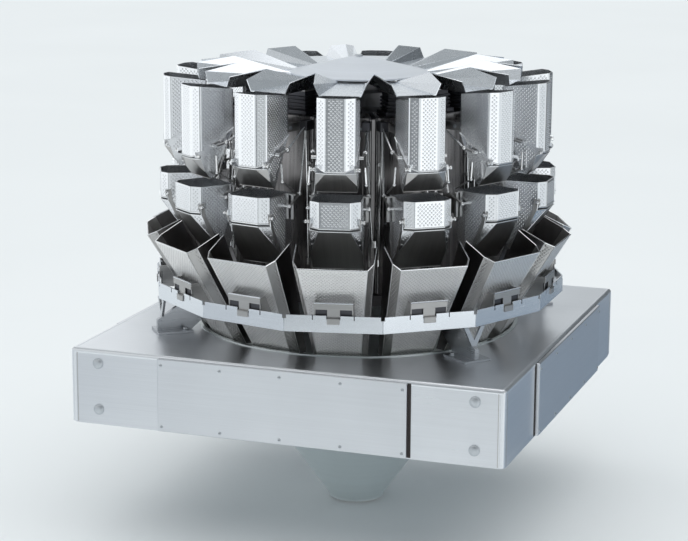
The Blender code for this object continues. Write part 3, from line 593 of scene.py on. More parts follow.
@dataclass
class Base:
    """The square housing: its plates, covers, rolled edges, dome bolts, cover screws, and dark strips of
    painted shadow beside the covers.
    """

    side: float = 1.100
    bolt_across: float = 0.478
    bolt_heights: Span = (-0.034, -0.150)
    bolt_radius: float = 0.0125
    bolt_rise: float = 0.0040
    washer_radius: float = 0.01375
    cover_proud: float = 0.0103
    screw_heights: Span = (-0.020, -0.174)
    screw_radius: float = 0.0042
    screw_rise: float = 0.0024
    screw_shares: tuple[float, ...] = (-1.0, -0.5, 0.0, 0.5, 1.0)
    slot_half: Span = (0.0030, 0.0004)
    roll_radius: float = 0.0080
    roll_proud: float = 0.0008
    seam_across: float = 0.5340
    seam_low: float = -0.1850
    seam_half: float = 0.0009
    # Where the dark strips of painted shadow lie beside each cover.
    shadow_gap_across: Span = (0.0100, 0.0180)
    shadow_gap_past: float = 0.008
    shadow_gap_top: float = -0.0052
    shadow_gap_strip: Span = (-0.0060, -0.0046)
    covers: tuple[tuple[str, float, float], ...] = (
        ("front", 0.0, 0.306),
        ("right", 0.045, 0.310),
        ("back", 0.0, 0.306),
        ("left", -0.045, 0.310),
    )

    def build(self) -> None:
        """Dresses the housing and its covers and adds what is on each side of it."""
        dress(["base_housing"], HOUSING)
        dress(["front_cover", "back_cover", "left_cover", "right_cover"], COVER)
        for number, (side, middle, half) in enumerate(self.covers):
            fasteners = Piece(f"base_fasteners_{side}")
            if side in ("front", "back"):
                self._add_domes(fasteners)
            self._add_rolls(fasteners)
            self._add_screws(fasteners, middle, half)
            # Painted shadow beside the cover's end and along its top.
            self._add_shadow_gap(fasteners, middle, half, -1 if side == "right" else 1)
            show(fasteners.name, fasteners.mesh(), turn=number * math.pi / 2)
        log.info("base: housing, four covers and their fasteners")

    @property
    def face(self) -> float:
        """How far a side stands from the axis."""
        return self.side / 2

    def _add_domes(self, piece: Piece) -> None:
        """Adds the four dome bolts of one side."""
        for x in (-self.bolt_across, self.bolt_across):
            for z in self.bolt_heights:
                ends = (at(x, self.face - 0.001, z), at(x, self.face + 0.0016, z))
                piece.add(cylinder(*ends, self.washer_radius, 28), BOLT)
                self._add_head(piece, self.bolt_radius, self.bolt_rise, at(x, self.face + 0.0014, z))

    def _add_rolls(self, piece: Piece) -> None:
        """Adds the rolled edges: the upper one, the one at the right-hand corner, and two seams."""
        edge = self.face - self.roll_radius + self.roll_proud
        top = -self.roll_radius + self.roll_proud
        left, corner, foot = at(-edge, edge, top), at(edge, edge, top), at(edge, edge, self.seam_low)
        # The round beads are real; their lighter steel paints the edge's highlight.
        piece.add(cylinder(left, corner, self.roll_radius, 28), ROLL_HIGHLIGHT)
        piece.add(ball(corner, self.roll_radius), ROLL_HIGHLIGHT)
        piece.add(cylinder(foot, corner, self.roll_radius, 28), ROLL_HIGHLIGHT)
        for x in (-self.seam_across, self.seam_across):
            xs, zs = (x - self.seam_half, x + self.seam_half), (self.seam_low, top)
            piece.add(slab(xs, (self.face - 0.001, self.face + 0.0004), zs), GATE)

    def _add_head(self, piece: Piece, radius: float, rise: float, spot: Vector) -> None:
        """Adds a shallow domed head that stands out of one side."""
        angles = [math.radians(18 * step) for step in range(5)]
        curve = [(radius * math.cos(a), rise * math.sin(a)) for a in angles]
        head = lathe([(0, 0), *curve, (0, rise)], 24)
        head.transform(Matrix.Translation(spot) @ Matrix.Rotation(math.pi / 2, 4, "X"))
        piece.add(head, BOLT)

    def _add_shadow_gap(self, piece: Piece, middle: float, half: float, end: int) -> None:
        """Adds the dark strips of painted shadow beside a cover's end and along its upper edge."""
        xs = rising(*(middle + end * (half + across) for across in self.shadow_gap_across))
        piece.add(slab(xs, (self.face - 0.001, self.face + 0.0012), (self.seam_low, self.shadow_gap_top)), SHADOW_GAP)
        along = (middle - half - self.shadow_gap_past, middle + half + self.shadow_gap_past)
        piece.add(slab(along, (self.face - 0.0010, self.face + 0.0006), self.shadow_gap_strip), SHADOW_GAP)

    def _add_screws(self, piece: Piece, middle: float, half: float) -> None:
        """Adds the row of pan-head screws along a cover's upper and lower edge."""
        face = self.face + self.cover_proud
        half_x, half_z = self.slot_half
        for share in self.screw_shares:
            for z in self.screw_heights:
                x = middle + share * half
                self._add_head(piece, self.screw_radius, self.screw_rise, at(x, face - 0.0002, z))
                # A dark bar in each head paints the shade in its slot.
                xs, zs = (x - half_x, x + half_x), (z - half_z, z + half_z)
                piece.add(slab(xs, (face + self.screw_rise / 2, face + self.screw_rise), zs), DRIVE_AND_SHADE)


@dataclass
class Funnel:
    """The round collecting funnel, from its lip on the deck to its outlet."""

    top_radius: float = 0.408
    knee_radius: float = 0.278
    outlet_radius: float = 0.071
    knee: float = -0.188
    drop: float = 0.295
    lip: float = 0.008
    sheet: float = 0.002
    play: float = 0.0003
    seam_turn: float = math.radians(150)
    seam_radius: float = 0.0010

    def build(self) -> None:
        """Makes the funnel's smooth sheet and its seam."""
        low = self.knee - self.drop
        t, o, k = self.sheet, self.outlet_radius, self.knee_radius
        profile = [
            (self.top_radius + self.lip, t),
            (self.top_radius + self.lip, self.play),
            (self.top_radius, self.play),
            (k, self.knee),
            (o, low + 0.006),
            (o, low + 0.0005),
            (o - t, low),
            (o - t, low + 0.006),
            (k - t, self.knee + t),
            (self.top_radius - t, t),
        ]
        piece = Piece("funnel_sheet")
        piece.add(lathe(profile, 112), FUNNEL)
        ends = (at(0, k - 0.002, self.knee - 0.003), at(0, o + 0.0004, low + 0.008))
        piece.add(bead([turned(self.seam_turn) @ end for end in ends], self.seam_radius, 6), BRACKET_SHADE)
        show(piece.name, piece.mesh(), nodes=["collecting_funnel"])
        log.info("funnel: sheet of %d mm across its mouth", round(self.top_radius * 2000))


@dataclass
class ChuteRing:
    """The ring rail and the fourteen chutes that its clips carry."""

    top_r: float = 0.541
    low_r: float = 0.390
    top: float = 0.242
    low: float = -0.010
    top_width: float = 0.166
    low_width: float = 0.104
    strip: float = 0.026
    strip_angle: float = math.radians(60)
    top_depth: float = 0.081
    low_depth: float = 0.050
    side_rise: float = math.radians(27)
    sheet: float = 0.002
    bend_radius: float = 0.0011
    rim_radius: float = 0.0013
    rail_low: float = 0.0855
    rail_height: float = 0.041
    rail_face: float = 0.5117
    rail_thickness: float = 0.004
    rail_nick: float = 0.0045
    slit_width: float = 0.0024
    notch_width: float = 0.033
    notch_depth: float = 0.009
    clip_width: float = 0.093
    clip_low: float = 0.100
    clip_top: float = 0.155
    clip_sheet: float = 0.003
    clip_shelf: float = 0.1395
    clip_bolt: Span = (0.030, 0.147)
    clip_bolt_radius: float = 0.0042
    tab_play: float = 0.0012
    tab_drop: float = 0.0120

    def build(self) -> None:
        """Makes each length of rail and its chutes."""
        chute, rail = self._chute().mesh(), self._rail().mesh()
        groups = {"front": range(-2, 2), "right": range(2, 5), "back": range(5, 9), "left": range(9, 12)}
        for side, heads in groups.items():
            for index in heads:
                number = f"{index % HEADS + 1:02d}"
                made = show(f"chute_{number}", chute, turn=head_turn(index))
                show(f"ring_rail_{number}", rail, turn=head_turn(index))
                if index == heads[0]:
                    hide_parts(f"chute_ring_{side}")
            log.info("chutes: %s run of %d", side, len(heads))

    @property
    def rail_outer(self) -> float:
        """The radius of the rail's outer face."""
        return self.rail_face + self.rail_thickness

    @property
    def seat(self) -> float:
        """The height of the notch's floor in the rail, where a clip's tab sits."""
        return self.rail_low + self.rail_height - self.notch_depth

    def face_r(self, z: float) -> float:
        """Gives the radius of a chute's outer face at a height."""
        return self.low_r + (self.top_r - self.low_r) * (z - self.low) / (self.top - self.low)

    def _row(self, width: float, outer_r: float, depth: float, z: float, climb: float) -> list[Vector]:
        """Gives the ends and bends of a chute's sheet along its upper or lower edge.

        Args:
            width: The width of the face.
            outer_r: The radius of the face.
            depth: How far the side walls reach inwards from it.
            z: The height of the face's edge.
            climb: How far the edge rises for each metre inwards.

        Returns:
            Six points from left to right.
        """
        strip_x, strip_r = self.strip * math.cos(self.strip_angle), self.strip * math.sin(self.strip_angle)
        half = width / 2
        row = [
            (half + strip_x, outer_r - depth, z + climb * depth),
            (half + strip_x, outer_r - strip_r, z + climb * strip_r),
            (half, outer_r, z),
        ]
        return [at(-x, r, h) for x, r, h in row] + [at(x, r, h) for x, r, h in reversed(row)]

    def _panel(self, low: Sequence[Vector], top: Sequence[Vector], inside: Vector) -> Shape:
        """Makes one flat panel of a chute between two bends, with its sheet's thickness inwards."""
        bm = bmesh.new()
        edge = bm.edges.new([bm.verts.new(point) for point in low])
        swept = bmesh.ops.extrude_edge_only(bm, edges=[edge])["geom"]
        for vert, point in zip(verts_of(swept), top):
            vert.co = point
        bmesh.ops.recalc_face_normals(bm, faces=bm.faces)
        face = bm.faces[:][0]
        if face.normal.dot(face.calc_center_median() - inside) < 0:
            bmesh.ops.reverse_faces(bm, faces=[face])
        bmesh.ops.solidify(bm, geom=list(bm.faces), thickness=self.sheet)
        return bm

    def _chute(self) -> Piece:
        """Makes one chute: an embossed face and folded strips, plain side walls and its clip, with painted
        shade on the strips, walls and dimples.
        """
        tops = self._row(self.top_width, self.top_r, self.top_depth, self.top, math.tan(self.side_rise))
        lows = self._row(self.low_width, self.low_r, self.low_depth, self.low, 0.0)
        piece, inside = Piece("chute"), at(0, 0.40, 0.12)
        # Painted shade: the strips, the side walls and the face's dimples take darker copies of the chute
        # steel.
        for first, steel in enumerate((CHUTE_WALL_SHADE, CHUTE_STRIP_SHADE, CHUTE, CHUTE_STRIP_SHADE, CHUTE_WALL_SHADE)):
            low, top = lows[first : first + 2], tops[first : first + 2]
            piece.add(self._panel(low, top, inside), steel)
            if steel is not CHUTE_WALL_SHADE:
                dimples = DEEP_EMBOSSING.press([*low, *reversed(top)], inside)
                piece.add(dimples, CHUTE_DIMPLE_SHADE if steel is CHUTE else CHUTE_STRIP_SHADE)
        for bend in (1, 2, 3, 4):
            piece.add(bead([lows[bend], tops[bend]], self.bend_radius, 6), CHUTE)
        piece.add(bead(tops, self.rim_radius, 6), HEM)
        self._add_clip(piece)
        return piece

    def _add_clip(self, piece: Piece) -> None:
        """Adds the bracket that hangs a chute on the rail, with its hooked tab."""
        half, inner, outer = self.clip_width / 2, self.rail_face, self.rail_outer
        back, wide, shelf, top = inner - self.clip_sheet, (-half, half), self.clip_shelf, self.clip_top
        piece.add(slab(wide, (back, inner - 0.0003), (shelf, top - 0.0010), 0.0010), BRACKET_SHADE)
        # A dark plate set back under the shelf paints the shade in the gap behind the clip.
        piece.add(slab(wide, (back - 0.0035, back - 0.0015), (self.clip_low, shelf + 0.001)), DRIVE_AND_SHADE)
        # The round bead along the clip's top edge is real; its lighter rail steel is a painted highlight.
        piece.add(bead([at(x, inner - 0.0018, top) for x in wide], 0.0018), RAIL)
        chute_low, chute_top = ((self.face_r(z) - 0.001, z) for z in (self.clip_low, top))
        profile = [chute_low, (back, self.clip_low), (back, top), chute_top]
        for low_x in (-half, half - self.clip_sheet):
            piece.add(side_plate(profile, low_x, low_x + self.clip_sheet, 0.0006), BRACKET_SHADE)
        tab, low, high = self.notch_width / 2 - self.tab_play, self.seat + 0.0003, self.seat + 0.0030
        for rs, zs, radius in (
            ((back, inner - 0.0002), (low, shelf + 0.001), 0.0006),
            ((back, outer + 0.0030), (low, high), 0.0008),
            ((outer + 0.0004, outer + 0.0030), (self.seat - self.tab_drop, high), 0.0010),
        ):
            piece.add(slab((-tab, tab), rs, zs, radius), BRACKET_SHADE)
        bolt_x, bolt_z = self.clip_bolt
        for x in (-bolt_x, bolt_x):
            ends = (at(x, r, bolt_z) for r in (back - 0.005, back))
            piece.add(cylinder(*ends, self.clip_bolt_radius, 6), BOLT)

    def _rail(self) -> Piece:
        """Makes the straight length of rail in front of one head, notched at its middle and ends."""
        low, high, seat, outer = self.rail_low, self.rail_low + self.rail_height, self.seat, self.rail_outer
        end, notch = outer * math.tan(PITCH / 2) - 0.0004, self.notch_width / 2
        nick = end - self.rail_nick
        right = [(end, low), (end, seat), (nick, seat), (nick, high), (notch, high), (notch, seat)]
        outline = right + [(-x, z) for x, z in reversed(right)]
        piece = Piece("rail")
        piece.add(front_plate(outline, self.rail_face, outer, 0.0006), RAIL)
        # Dark strips on the rail's face paint the shade in its two slits.
        slit, half = self.clip_width / 2 + 0.003, self.slit_width / 2
        for x in (-slit, slit):
            zs = (seat - 0.002, high + 0.0003)
            piece.add(slab((x - half, x + half), (outer - 0.0005, outer + 0.0003), zs), DRIVE_AND_SHADE)
        return piece


@dataclass
class Legs:
    """The four legs between the deck and the ring rail."""

    bolt_x: float = 0.024
    bolt_r: float = 0.468
    foot_top: float = 0.0063
    washer_radius: float = 0.0085
    nut_radius: float = 0.0062
    turns: tuple[float, ...] = tuple(head_turn(i) + PITCH / 2 for i in (1, 4, 8, 11))

    def build(self) -> None:
        """Dresses the legs and adds the washers and bolts of each foot."""
        dress([f"support_leg_{n}" for n in (1, 2, 3, 4)], LEG_SHADE)
        low, middle, high = self.foot_top - 0.001, self.foot_top + 0.0012, self.foot_top + 0.006
        for number, turn in enumerate(self.turns, 1):
            piece = Piece(f"leg_fasteners_{number}")
            for x in (-self.bolt_x, self.bolt_x):
                foot, washer, nut = (at(x, self.bolt_r, z) for z in (low, middle, high))
                piece.add(cylinder(foot, washer, self.washer_radius, 18), BOLT)
                bolt = cylinder(washer - UP * 0.0002, nut, self.nut_radius, 6)
                piece.add(rounded(bolt, 0.0006), BOLT)
            show(piece.name, piece.mesh(), turn=turn)
        log.info("legs: four, bolted to the deck")


# How far a gate's cheek and a hopper's ear reach beyond the hinge, outwards and downwards.
EYE_OUT, EYE_DOWN = 0.0055, 0.0045


@dataclass
class Hopper:
    """The sizes that the two hoppers of a head share, and what both have."""

    front_r: float
    depth: float
    width: float
    front_width: float
    corner_depth: float
    rim: float
    low: float
    hinge_r: float
    hinge_z: float
    sheet: float = 0.0018
    fold: float = 0.0030
    back_slope: float = math.radians(32)

    @property
    def back_r(self) -> float:
        """The radius of the back wall."""
        return self.front_r - self.depth

    def slant(self, r: float) -> float:
        """Gives the height of a lower edge that rises towards the back, at a radius."""
        return self.low + (self.front_r - r) * math.tan(self.back_slope)

    def outline(self) -> list[Span]:
        """Gives the hopper's bends from above, from one back corner to the other."""
        half, front, side_r = self.width / 2, self.front_width / 2, self.front_r - self.corner_depth
        right = [(half, self.back_r), (half, side_r), (front, self.front_r)]
        return right + [(-x, r) for x, r in reversed(right)]

    def add_dimples(
        self, piece: Piece, outline: Profile, lows: Sequence[float], highs: Sequence[float]
    ) -> None:
        """Presses the dimples into each panel between the outline's ends.

        Args:
            piece: The hopper's piece.
            outline: The bends from above.
            lows: The lower edge's height at each bend.
            highs: The upper edge's height at each bend.
        """
        inside = at(0, self.front_r - self.depth / 2, (self.low + self.rim) / 2)
        below = [at(x, r, z) for (x, r), z in zip(outline, lows)]
        above = [at(x, r, z) for (x, r), z in zip(outline, highs)]
        for i in range(len(outline) - 1):
            panel = [below[i], below[i + 1], above[i + 1], above[i]]
            piece.add(EMBOSSING.press(panel, inside), HOPPER)

    def add_ears(self, piece: Piece) -> None:
        """Adds the hinge ears beside the gate's pins."""
        inner, outer = self.hinge_r - 0.018, self.hinge_r + EYE_OUT
        low, high = self.hinge_z - EYE_DOWN, self.hinge_z + 0.009
        profile = [(inner, low), (outer, low), (outer, high), (inner, high)]
        half = self.width / 2
        for side in (-1, 1):
            piece.add(side_plate(profile, *rising(side * (half - self.sheet), side * half), 0.0004), HEM)


@dataclass
class Gate:
    """A hinged gate: its folded front, two cheeks and the knobs on its pins."""

    kind: str
    hopper: Hopper
    drop: float
    waist: float
    height: float
    slope: float = math.radians(38)
    overlap: float = 0.0023
    pin_x: float = 0.0018
    knob: tuple[Triple, ...] = ((0.0, 0.0035, 0.0048), (0.0034, 0.0062, 0.0030), (0.0060, 0.0108, 0.0050))
    cheek_play: float = 0.0003
    cheek_sheet: float = 0.0020
    cheek_depth: float = 0.011
    cheek_reach: float = 0.084
    hem_radius: float = 0.0014
    edge_radius: float = 0.0012
    fold_radius: float = 0.0008

    def line(self) -> list[Span]:
        """Gives the front as (r, z): its top, its waist and its tip."""
        top_r, top = self.hopper.front_r - 0.0005, self.hopper.hinge_z - self.drop
        return [(top_r - down * math.tan(self.slope), top - down) for down in (0, self.waist, self.height)]

    def build(self) -> None:
        """Makes the gate of every head, on that gate's body."""
        piece = Piece(f"{self.kind}_gate")
        self._add_front(piece)
        self._add_cheeks(piece)
        self._add_knobs(piece)
        mesh = piece.mesh()
        for number, turn in heads():
            node = f"{self.kind}_gate_{number}"
            show(f"{self.kind}_flap_{number}", mesh, node, [node], turn)
        log.info("%s gates: %d", self.kind, HEADS)

    def _add_front(self, piece: Piece) -> None:
        """Adds the smooth middle, the corners that end at the waist, and the beads on the folds."""
        hopper, (top, waist, tip) = self.hopper, self.line()
        half, front = hopper.width / 2 + self.overlap, hopper.front_width / 2
        corner = (top[0] - hopper.corner_depth, top[1])
        c0, c1, c2, c3 = at(-half, *corner), at(-front, *top), at(front, *top), at(half, *corner)
        w0, w1, t0, t1 = at(-half, *waist), at(half, *waist), at(-half, *tip), at(half, *tip)
        corner_steel = HOPPER if self.kind == "weigh" else GATE
        middle, left, right = (c1, w0, t0, t1, w1, c2), (c0, w0, c1), (c2, w1, c3)
        for outline, steel in ((middle, GATE), (left, corner_steel), (right, corner_steel)):
            bm = bmesh.new()
            face = bm.faces.new([bm.verts.new(point) for point in outline])
            face.normal_update()
            if face.normal.y > 0:
                face.normal_flip()
            bmesh.ops.solidify(bm, geom=[face], thickness=hopper.sheet)
            piece.add(bm, steel)
            if steel is HOPPER:
                piece.add(EMBOSSING.press(outline, at(0, hopper.back_r, waist[1]), 0.0040), HOPPER)
        edge, hem_z = hopper.width / 2 + self.pin_x, hopper.hinge_z - 0.003
        hem = [at(-edge, hopper.hinge_r, hem_z), c0, c1, c2, c3, at(edge, hopper.hinge_r, hem_z)]
        piece.add(bead(hem, self.hem_radius), HEM)
        for low, high in ((c1, w0), (c2, w1), (t0, t1)):
            piece.add(bead([low, high], self.fold_radius, 6), corner_steel)

    def _cheek(self) -> list[Span]:
        """Gives a cheek's outline as (r, z)."""
        hopper, (top, waist, tip) = self.hopper, self.line()
        r, z, side_r = hopper.hinge_r, hopper.hinge_z, top[0] - hopper.corner_depth
        eye = [(r + EYE_OUT, z - EYE_DOWN), (r + EYE_OUT, z + EYE_DOWN), (r - 0.009, z + 0.009)]
        front, back_r = [tip, waist, (side_r, top[1]), *eye], tip[0] - self.cheek_depth
        if self.kind == "feed":
            inner_r = hopper.front_r - self.cheek_reach
            low = hopper.slant(inner_r)
            return [*front, (inner_r, low + 0.007), (inner_r, low - 0.020), (back_r, tip[1] + 0.007)]
        lower = (back_r, tip[1] + self.cheek_depth)
        return [*front, (side_r - self.cheek_depth, top[1]), (waist[0] - self.cheek_depth, waist[1]), lower]

    def _add_cheeks(self, piece: Piece) -> None:
        """Adds the two cheeks just outside the hopper's walls, with a bead on their lower edge."""
        near = self.hopper.width / 2 + self.cheek_play
        far = near + self.cheek_sheet
        profile = self._cheek()
        (r0, z0), (r1, z1), (r2, z2), (r3, z3) = profile[3], *profile[-3:]
        for side in (-1, 1):
            plate = side_plate(profile, *rising(side * near, side * far), 0.0003)
            if self.kind == "feed":
                panel = [(r0 - 0.012, z0), (r1, z1 - 0.004), (r2, z2), (r3 + 0.006, z3 + 0.004)]
                face = [at(side * far, r, z) for r, z in panel]
                piece.add(plate, HOPPER)
                piece.add(EMBOSSING.press(face, at(0, r1, z1), 0.0035), HOPPER)
            else:
                piece.add(plate, GATE)
            edge = [at(side * (near + far) / 2, r, z) for r, z in ((r2, z2), (r3, z3))]
            piece.add(bead(edge, self.edge_radius, 6), HEM)

    def _add_knobs(self, piece: Piece) -> None:
        """Adds the pins with their turned knobs."""
        start, r, z = self.hopper.width / 2 + self.pin_x, self.hopper.hinge_r, self.hopper.hinge_z
        for side in (-1, 1):
            for low, high, radius in self.knob:
                ends = (at(side * (start + x), r, z) for x in (low, high))
                piece.add(rounded(cylinder(*ends, radius, 14), 0.0008), ROD)


@dataclass(frozen=True)
class Block:
    """A block on a head: its spans in x, r and z, its steel and how far its edges are rounded."""

    xs: Span
    rs: Span
    zs: Span
    steel: Steel
    radius: float = 0.0

    def add_to(self, piece: Piece, side: int = 1) -> None:
        """Adds the block to a piece; side is 1, or -1 for its mirror image."""
        xs = rising(*(side * x for x in self.xs))
        piece.add(slab(xs, self.rs, self.zs, self.radius), self.steel)


@dataclass(frozen=True)
class Bar:
    """A round bar on a head, from its start's x, r and z to its end's, where it may have a knob."""

    start: Triple
    end: Triple
    radius: float
    sides: int
    steel: Steel = ROD
    knob: float = 0.0

    def add_to(self, piece: Piece, side: int = 1) -> None:
        """Adds the bar to a piece; side is 1, or -1 for its mirror image."""
        start, end = (at(side * x, r, z) for x, r, z in (self.start, self.end))
        piece.add(cylinder(start, end, self.radius, self.sides), self.steel)
        if self.knob:
            piece.add(ball(end, self.knob), ROD)


Fittings = tuple[Block | Bar, ...]

# Where the drive's fins start, and the ends that two or more rods share.
FINS = (0.579, 0.5875, 0.596, 0.6045)
PIVOT, ELBOW, FOOT = (0.057, 0.330, 0.548), (0.0625, 0.418, 0.500), (0.066, 0.372, 0.388)
FAN, YOKE = (0.052, 0.322, 0.540), (0.0685, 0.448, 0.428)


@dataclass
class Head:
    """A weighing head: drive unit, feed hopper, weigh hopper, their hangers and the rods beside them."""

    feed: Hopper
    weigh: Hopper
    feed_gate: Gate
    weigh_gate: Gate
    case_inner_r: float = 0.2053
    case_outer_r: float = 0.310
    case_inner_half: float = 0.044
    case_outer_half: float = 0.067
    case_low: float = 0.130
    case_top: float = 0.567
    case_corner: float = 0.014
    feed_back_dip: float = 0.011
    weigh_back_low: float = 0.286
    tip_back: float = 0.006
    tip_up: float = 0.0035
    hem_radius: float = 0.0019
    hem_rise: float = 0.0012
    fold_radius: float = 0.0010
    filler: Profile = ((-0.0034, 0.2980), (0.0034, 0.2980), (0.0048, 0.3120), (-0.0048, 0.3120))
    filler_rods: Profile = ((-0.0078, 0.3150), (0.0078, 0.3150))
    filler_inset: float = 0.004
    filler_radius: float = 0.0018
    case_fittings: Fittings = (
        Block((-0.046, 0.046), (0.309, 0.3122), (0.300, 0.548), CASING, 0.0010),
        Block((-0.034, 0.034), (0.225, 0.296), (0.566, 0.577), DRIVE_AND_SHADE, 0.002),
        *(Block((-0.028, 0.028), (0.232, 0.289), (z, z + 0.0055), DRIVE_AND_SHADE, 0.002) for z in FINS),
        Block((-0.024, 0.024), (0.236, 0.284), (0.567, 0.6277), DRIVE_AND_SHADE),
        Block((-0.028, 0.028), (0.2255, 0.2895), (0.6217, 0.6294), BRACKET_SHADE, 0.001),
    )
    case_bolts: Fittings = (
        Bar((0.040, 0.310, 0.308), (0.040, 0.314, 0.308), 0.0030, 10, BOLT),
        Bar((0.040, 0.310, 0.540), (0.040, 0.314, 0.540), 0.0030, 10, BOLT),
    )
    feed_hangers: Fittings = (
        Block((0.026, 0.032), (0.308, 0.390), (0.533, 0.553), BRACKET_SHADE, 0.0010),
        Bar((0.024, 0.360, 0.543), (0.034, 0.360, 0.543), 0.0045, 12, BOLT),
    )
    weigh_hangers: Fittings = (
        Block((-0.016, 0.016), (0.308, 0.395), (0.323, 0.365), CASING, 0.003),
        Block((-0.040, 0.040), (0.388, 0.396), (0.305, 0.383), BRACKET_SHADE, 0.002),
    )
    weigh_bolts: Fittings = (
        Bar((0.032, 0.384, 0.312), (0.032, 0.389, 0.312), 0.0045, 6, BOLT),
        Bar((0.032, 0.384, 0.376), (0.032, 0.389, 0.376), 0.0045, 6, BOLT),
    )
    rods: Fittings = (
        Block((0.044, 0.064), (0.308, 0.338), (0.536, 0.560), DRIVE_AND_SHADE, 0.002),
        Bar(PIVOT, ELBOW, 0.0026, 10, knob=0.0062),
        Bar(ELBOW, (0.0575, 0.448, 0.492), 0.0030, 8, BRACKET_SHADE),
        Bar((0.0500, 0.448, 0.492), (0.0620, 0.448, 0.492), 0.0046, 12),
        Bar(PIVOT, FOOT, 0.0028, 10, knob=0.0060),
        Bar(FOOT, (0.073, 0.425, 0.366), 0.0030, 8, BRACKET_SHADE, knob=0.0055),
        Bar((0.0595, 0.425, 0.366), (0.0765, 0.425, 0.366), 0.0036, 10),
        Block((0.062, 0.070), (0.395, 0.403), (0.330, 0.392), BRACKET_SHADE, 0.001),
        Block((0.056, 0.074), (0.396, 0.402), (0.3885, 0.3925), BRACKET_SHADE, 0.001),
        Bar(FAN, (0.064, 0.330, 0.215), 0.0017, 8),
        Bar((0.064, 0.330, 0.207), (0.064, 0.330, 0.223), 0.0036, 10),
        Bar(FAN, (0.072, 0.330, 0.262), 0.0017, 8),
        Bar((0.072, 0.330, 0.254), (0.072, 0.330, 0.270), 0.0036, 10),
        *(Bar((0.060, 0.306, z), (0.060, 0.320, z), 0.0042, 10) for z in (0.455, 0.408, 0.352, 0.300)),
        Bar((0.0655, 0.448, 0.470), YOKE, 0.0022, 8, knob=0.0044),
        Bar(YOKE, (0.0685, 0.400, 0.400), 0.0022, 8, BRACKET_SHADE),
    )

    def build(self) -> None:
        """Makes the pieces of every head."""
        parts = (
            (self._casing(), "body_steel"),
            (self._feed_hopper(), "embossed_steel"),
            (self._weigh_hopper(), "embossed_steel"),
            (self._linkage(), "polished_steel"),
        )
        for piece, slot in parts:
            mesh = piece.mesh()
            for number, turn in heads():
                nodes = [f"weighing_head_{number}"] if piece.name == "head_casing" else []
                show(f"{piece.name}_{number}", mesh, nodes=nodes, turn=turn)
            log.info("%s: %d, %d faces each", piece.name, HEADS, len(mesh.polygons))

    def _fit(self, piece: Piece, single: Fittings = (), paired: Fittings = ()) -> None:
        """Adds fittings to a piece, the paired ones on both sides."""
        for fitting in single:
            fitting.add_to(piece)
        for side in (-1, 1):
            for fitting in paired:
                fitting.add_to(piece, side)

    def _casing(self) -> Piece:
        """Makes the closed casing with rounded corners, and the feeder drive on top of it."""
        piece = Piece("head_casing")
        outline = [
            (-self.case_inner_half, self.case_inner_r),
            (self.case_inner_half, self.case_inner_r),
            (self.case_outer_half, self.case_outer_r),
            (-self.case_outer_half, self.case_outer_r),
        ]
        height = self.case_top - self.case_low
        bm = prism([at(x, r, self.case_low) for x, r in outline], UP * height)
        upright = [e for e in bm.edges if abs(e.verts[0].co.z - e.verts[1].co.z) > height / 2]
        piece.add(rounded(bent(bm, upright, self.case_corner, 5), 0.004, above=1.2), CASING)
        self._fit(piece, self.case_fittings, self.case_bolts)
        return piece

    def _add_hem(self, piece: Piece, outline: Profile, lows: Sequence[float]) -> None:
        """Adds the rolled hem of a hopper's lower edge."""
        path = [at(x, r, z + self.hem_rise) for (x, r), z in zip(outline, lows)]
        piece.add(bead(path, self.hem_radius), HEM)

    def _feed_hopper(self) -> Piece:
        """Makes the tall folded hopper with slanting side edges, its back slope and hangers."""
        hopper, piece = self.feed, Piece("feed_hopper")
        outline = hopper.outline()
        lows = [hopper.slant(r) for _, r in outline]
        highs = [hopper.rim] * len(outline)
        highs[0] = highs[-1] = hopper.rim - self.feed_back_dip
        piece.add(sheet_wall(outline, lows, highs, hopper.sheet, hopper.fold), HOPPER)
        hopper.add_dimples(piece, outline, lows, highs)
        self._add_hem(piece, outline, lows)
        back, (tip_r, tip) = hopper.back_r, self.feed_gate.line()[-1]
        upper = [(back, lows[0]), (back + 0.002, lows[0])]
        slope = [*upper, (tip_r - 0.004, tip), (tip_r - self.tip_back, tip)]
        piece.add(side_plate(slope, -hopper.width / 2, hopper.width / 2, 0.0003), HOPPER)
        hopper.add_ears(piece)
        self._fit(piece, paired=self.feed_hangers)
        return piece

    def _weigh_hopper(self) -> Piece:
        """Makes the lower folded hopper with its back slope, hanger plate and arm."""
        hopper, piece = self.weigh, Piece("weigh_hopper")
        tip_r, tip = self.weigh_gate.line()[-1]
        tip_r, tip = tip_r - self.tip_back, tip + self.tip_up
        half, back, back_low = hopper.width / 2, hopper.back_r, self.weigh_back_low
        outline = hopper.outline()
        outline[1:1] = [(half, tip_r)]
        outline[-1:-1] = [(-half, tip_r)]
        lows = [back_low, tip, *[hopper.low] * 4, tip, back_low]
        highs = [hopper.rim] * len(outline)
        piece.add(sheet_wall(outline, lows, highs, hopper.sheet, 0.0), HOPPER)
        hopper.add_dimples(piece, outline[1:-1], lows[1:-1], highs[1:-1])
        for x, r in outline[2:6]:
            piece.add(cylinder(at(x, r, hopper.low), at(x, r, hopper.rim), self.fold_radius, 6), HEM)
        self._add_hem(piece, outline[1:-1], lows[1:-1])
        upper = [(back, back_low + 0.002), (back + 0.002, back_low + 0.002)]
        slope = [*upper, (tip_r, tip), (tip_r - 0.002, tip)]
        piece.add(side_plate(slope, -half, half, 0.0003), HOPPER)
        hopper.add_ears(piece)
        self._fit(piece, self.weigh_hangers, self.weigh_bolts)
        return piece

    def _linkage(self) -> Piece:
        """Makes the rods beside the hoppers, and what fills the gap to the next casing."""
        piece = Piece("head_linkage")
        self._fit(piece, paired=self.rods)
        aside = turned(PITCH / 2)
        low, high = self.case_low + self.filler_inset, self.case_top - self.filler_inset
        piece.add(prism([aside @ at(x, r, low) for x, r in self.filler], UP * (high - low), 0.0008), CASING)
        for x, r in self.filler_rods:
            ends = (aside @ at(x, r, z) for z in (low, high))
            piece.add(cylinder(*ends, self.filler_radius, 8), BRACKET_SHADE)
        return piece


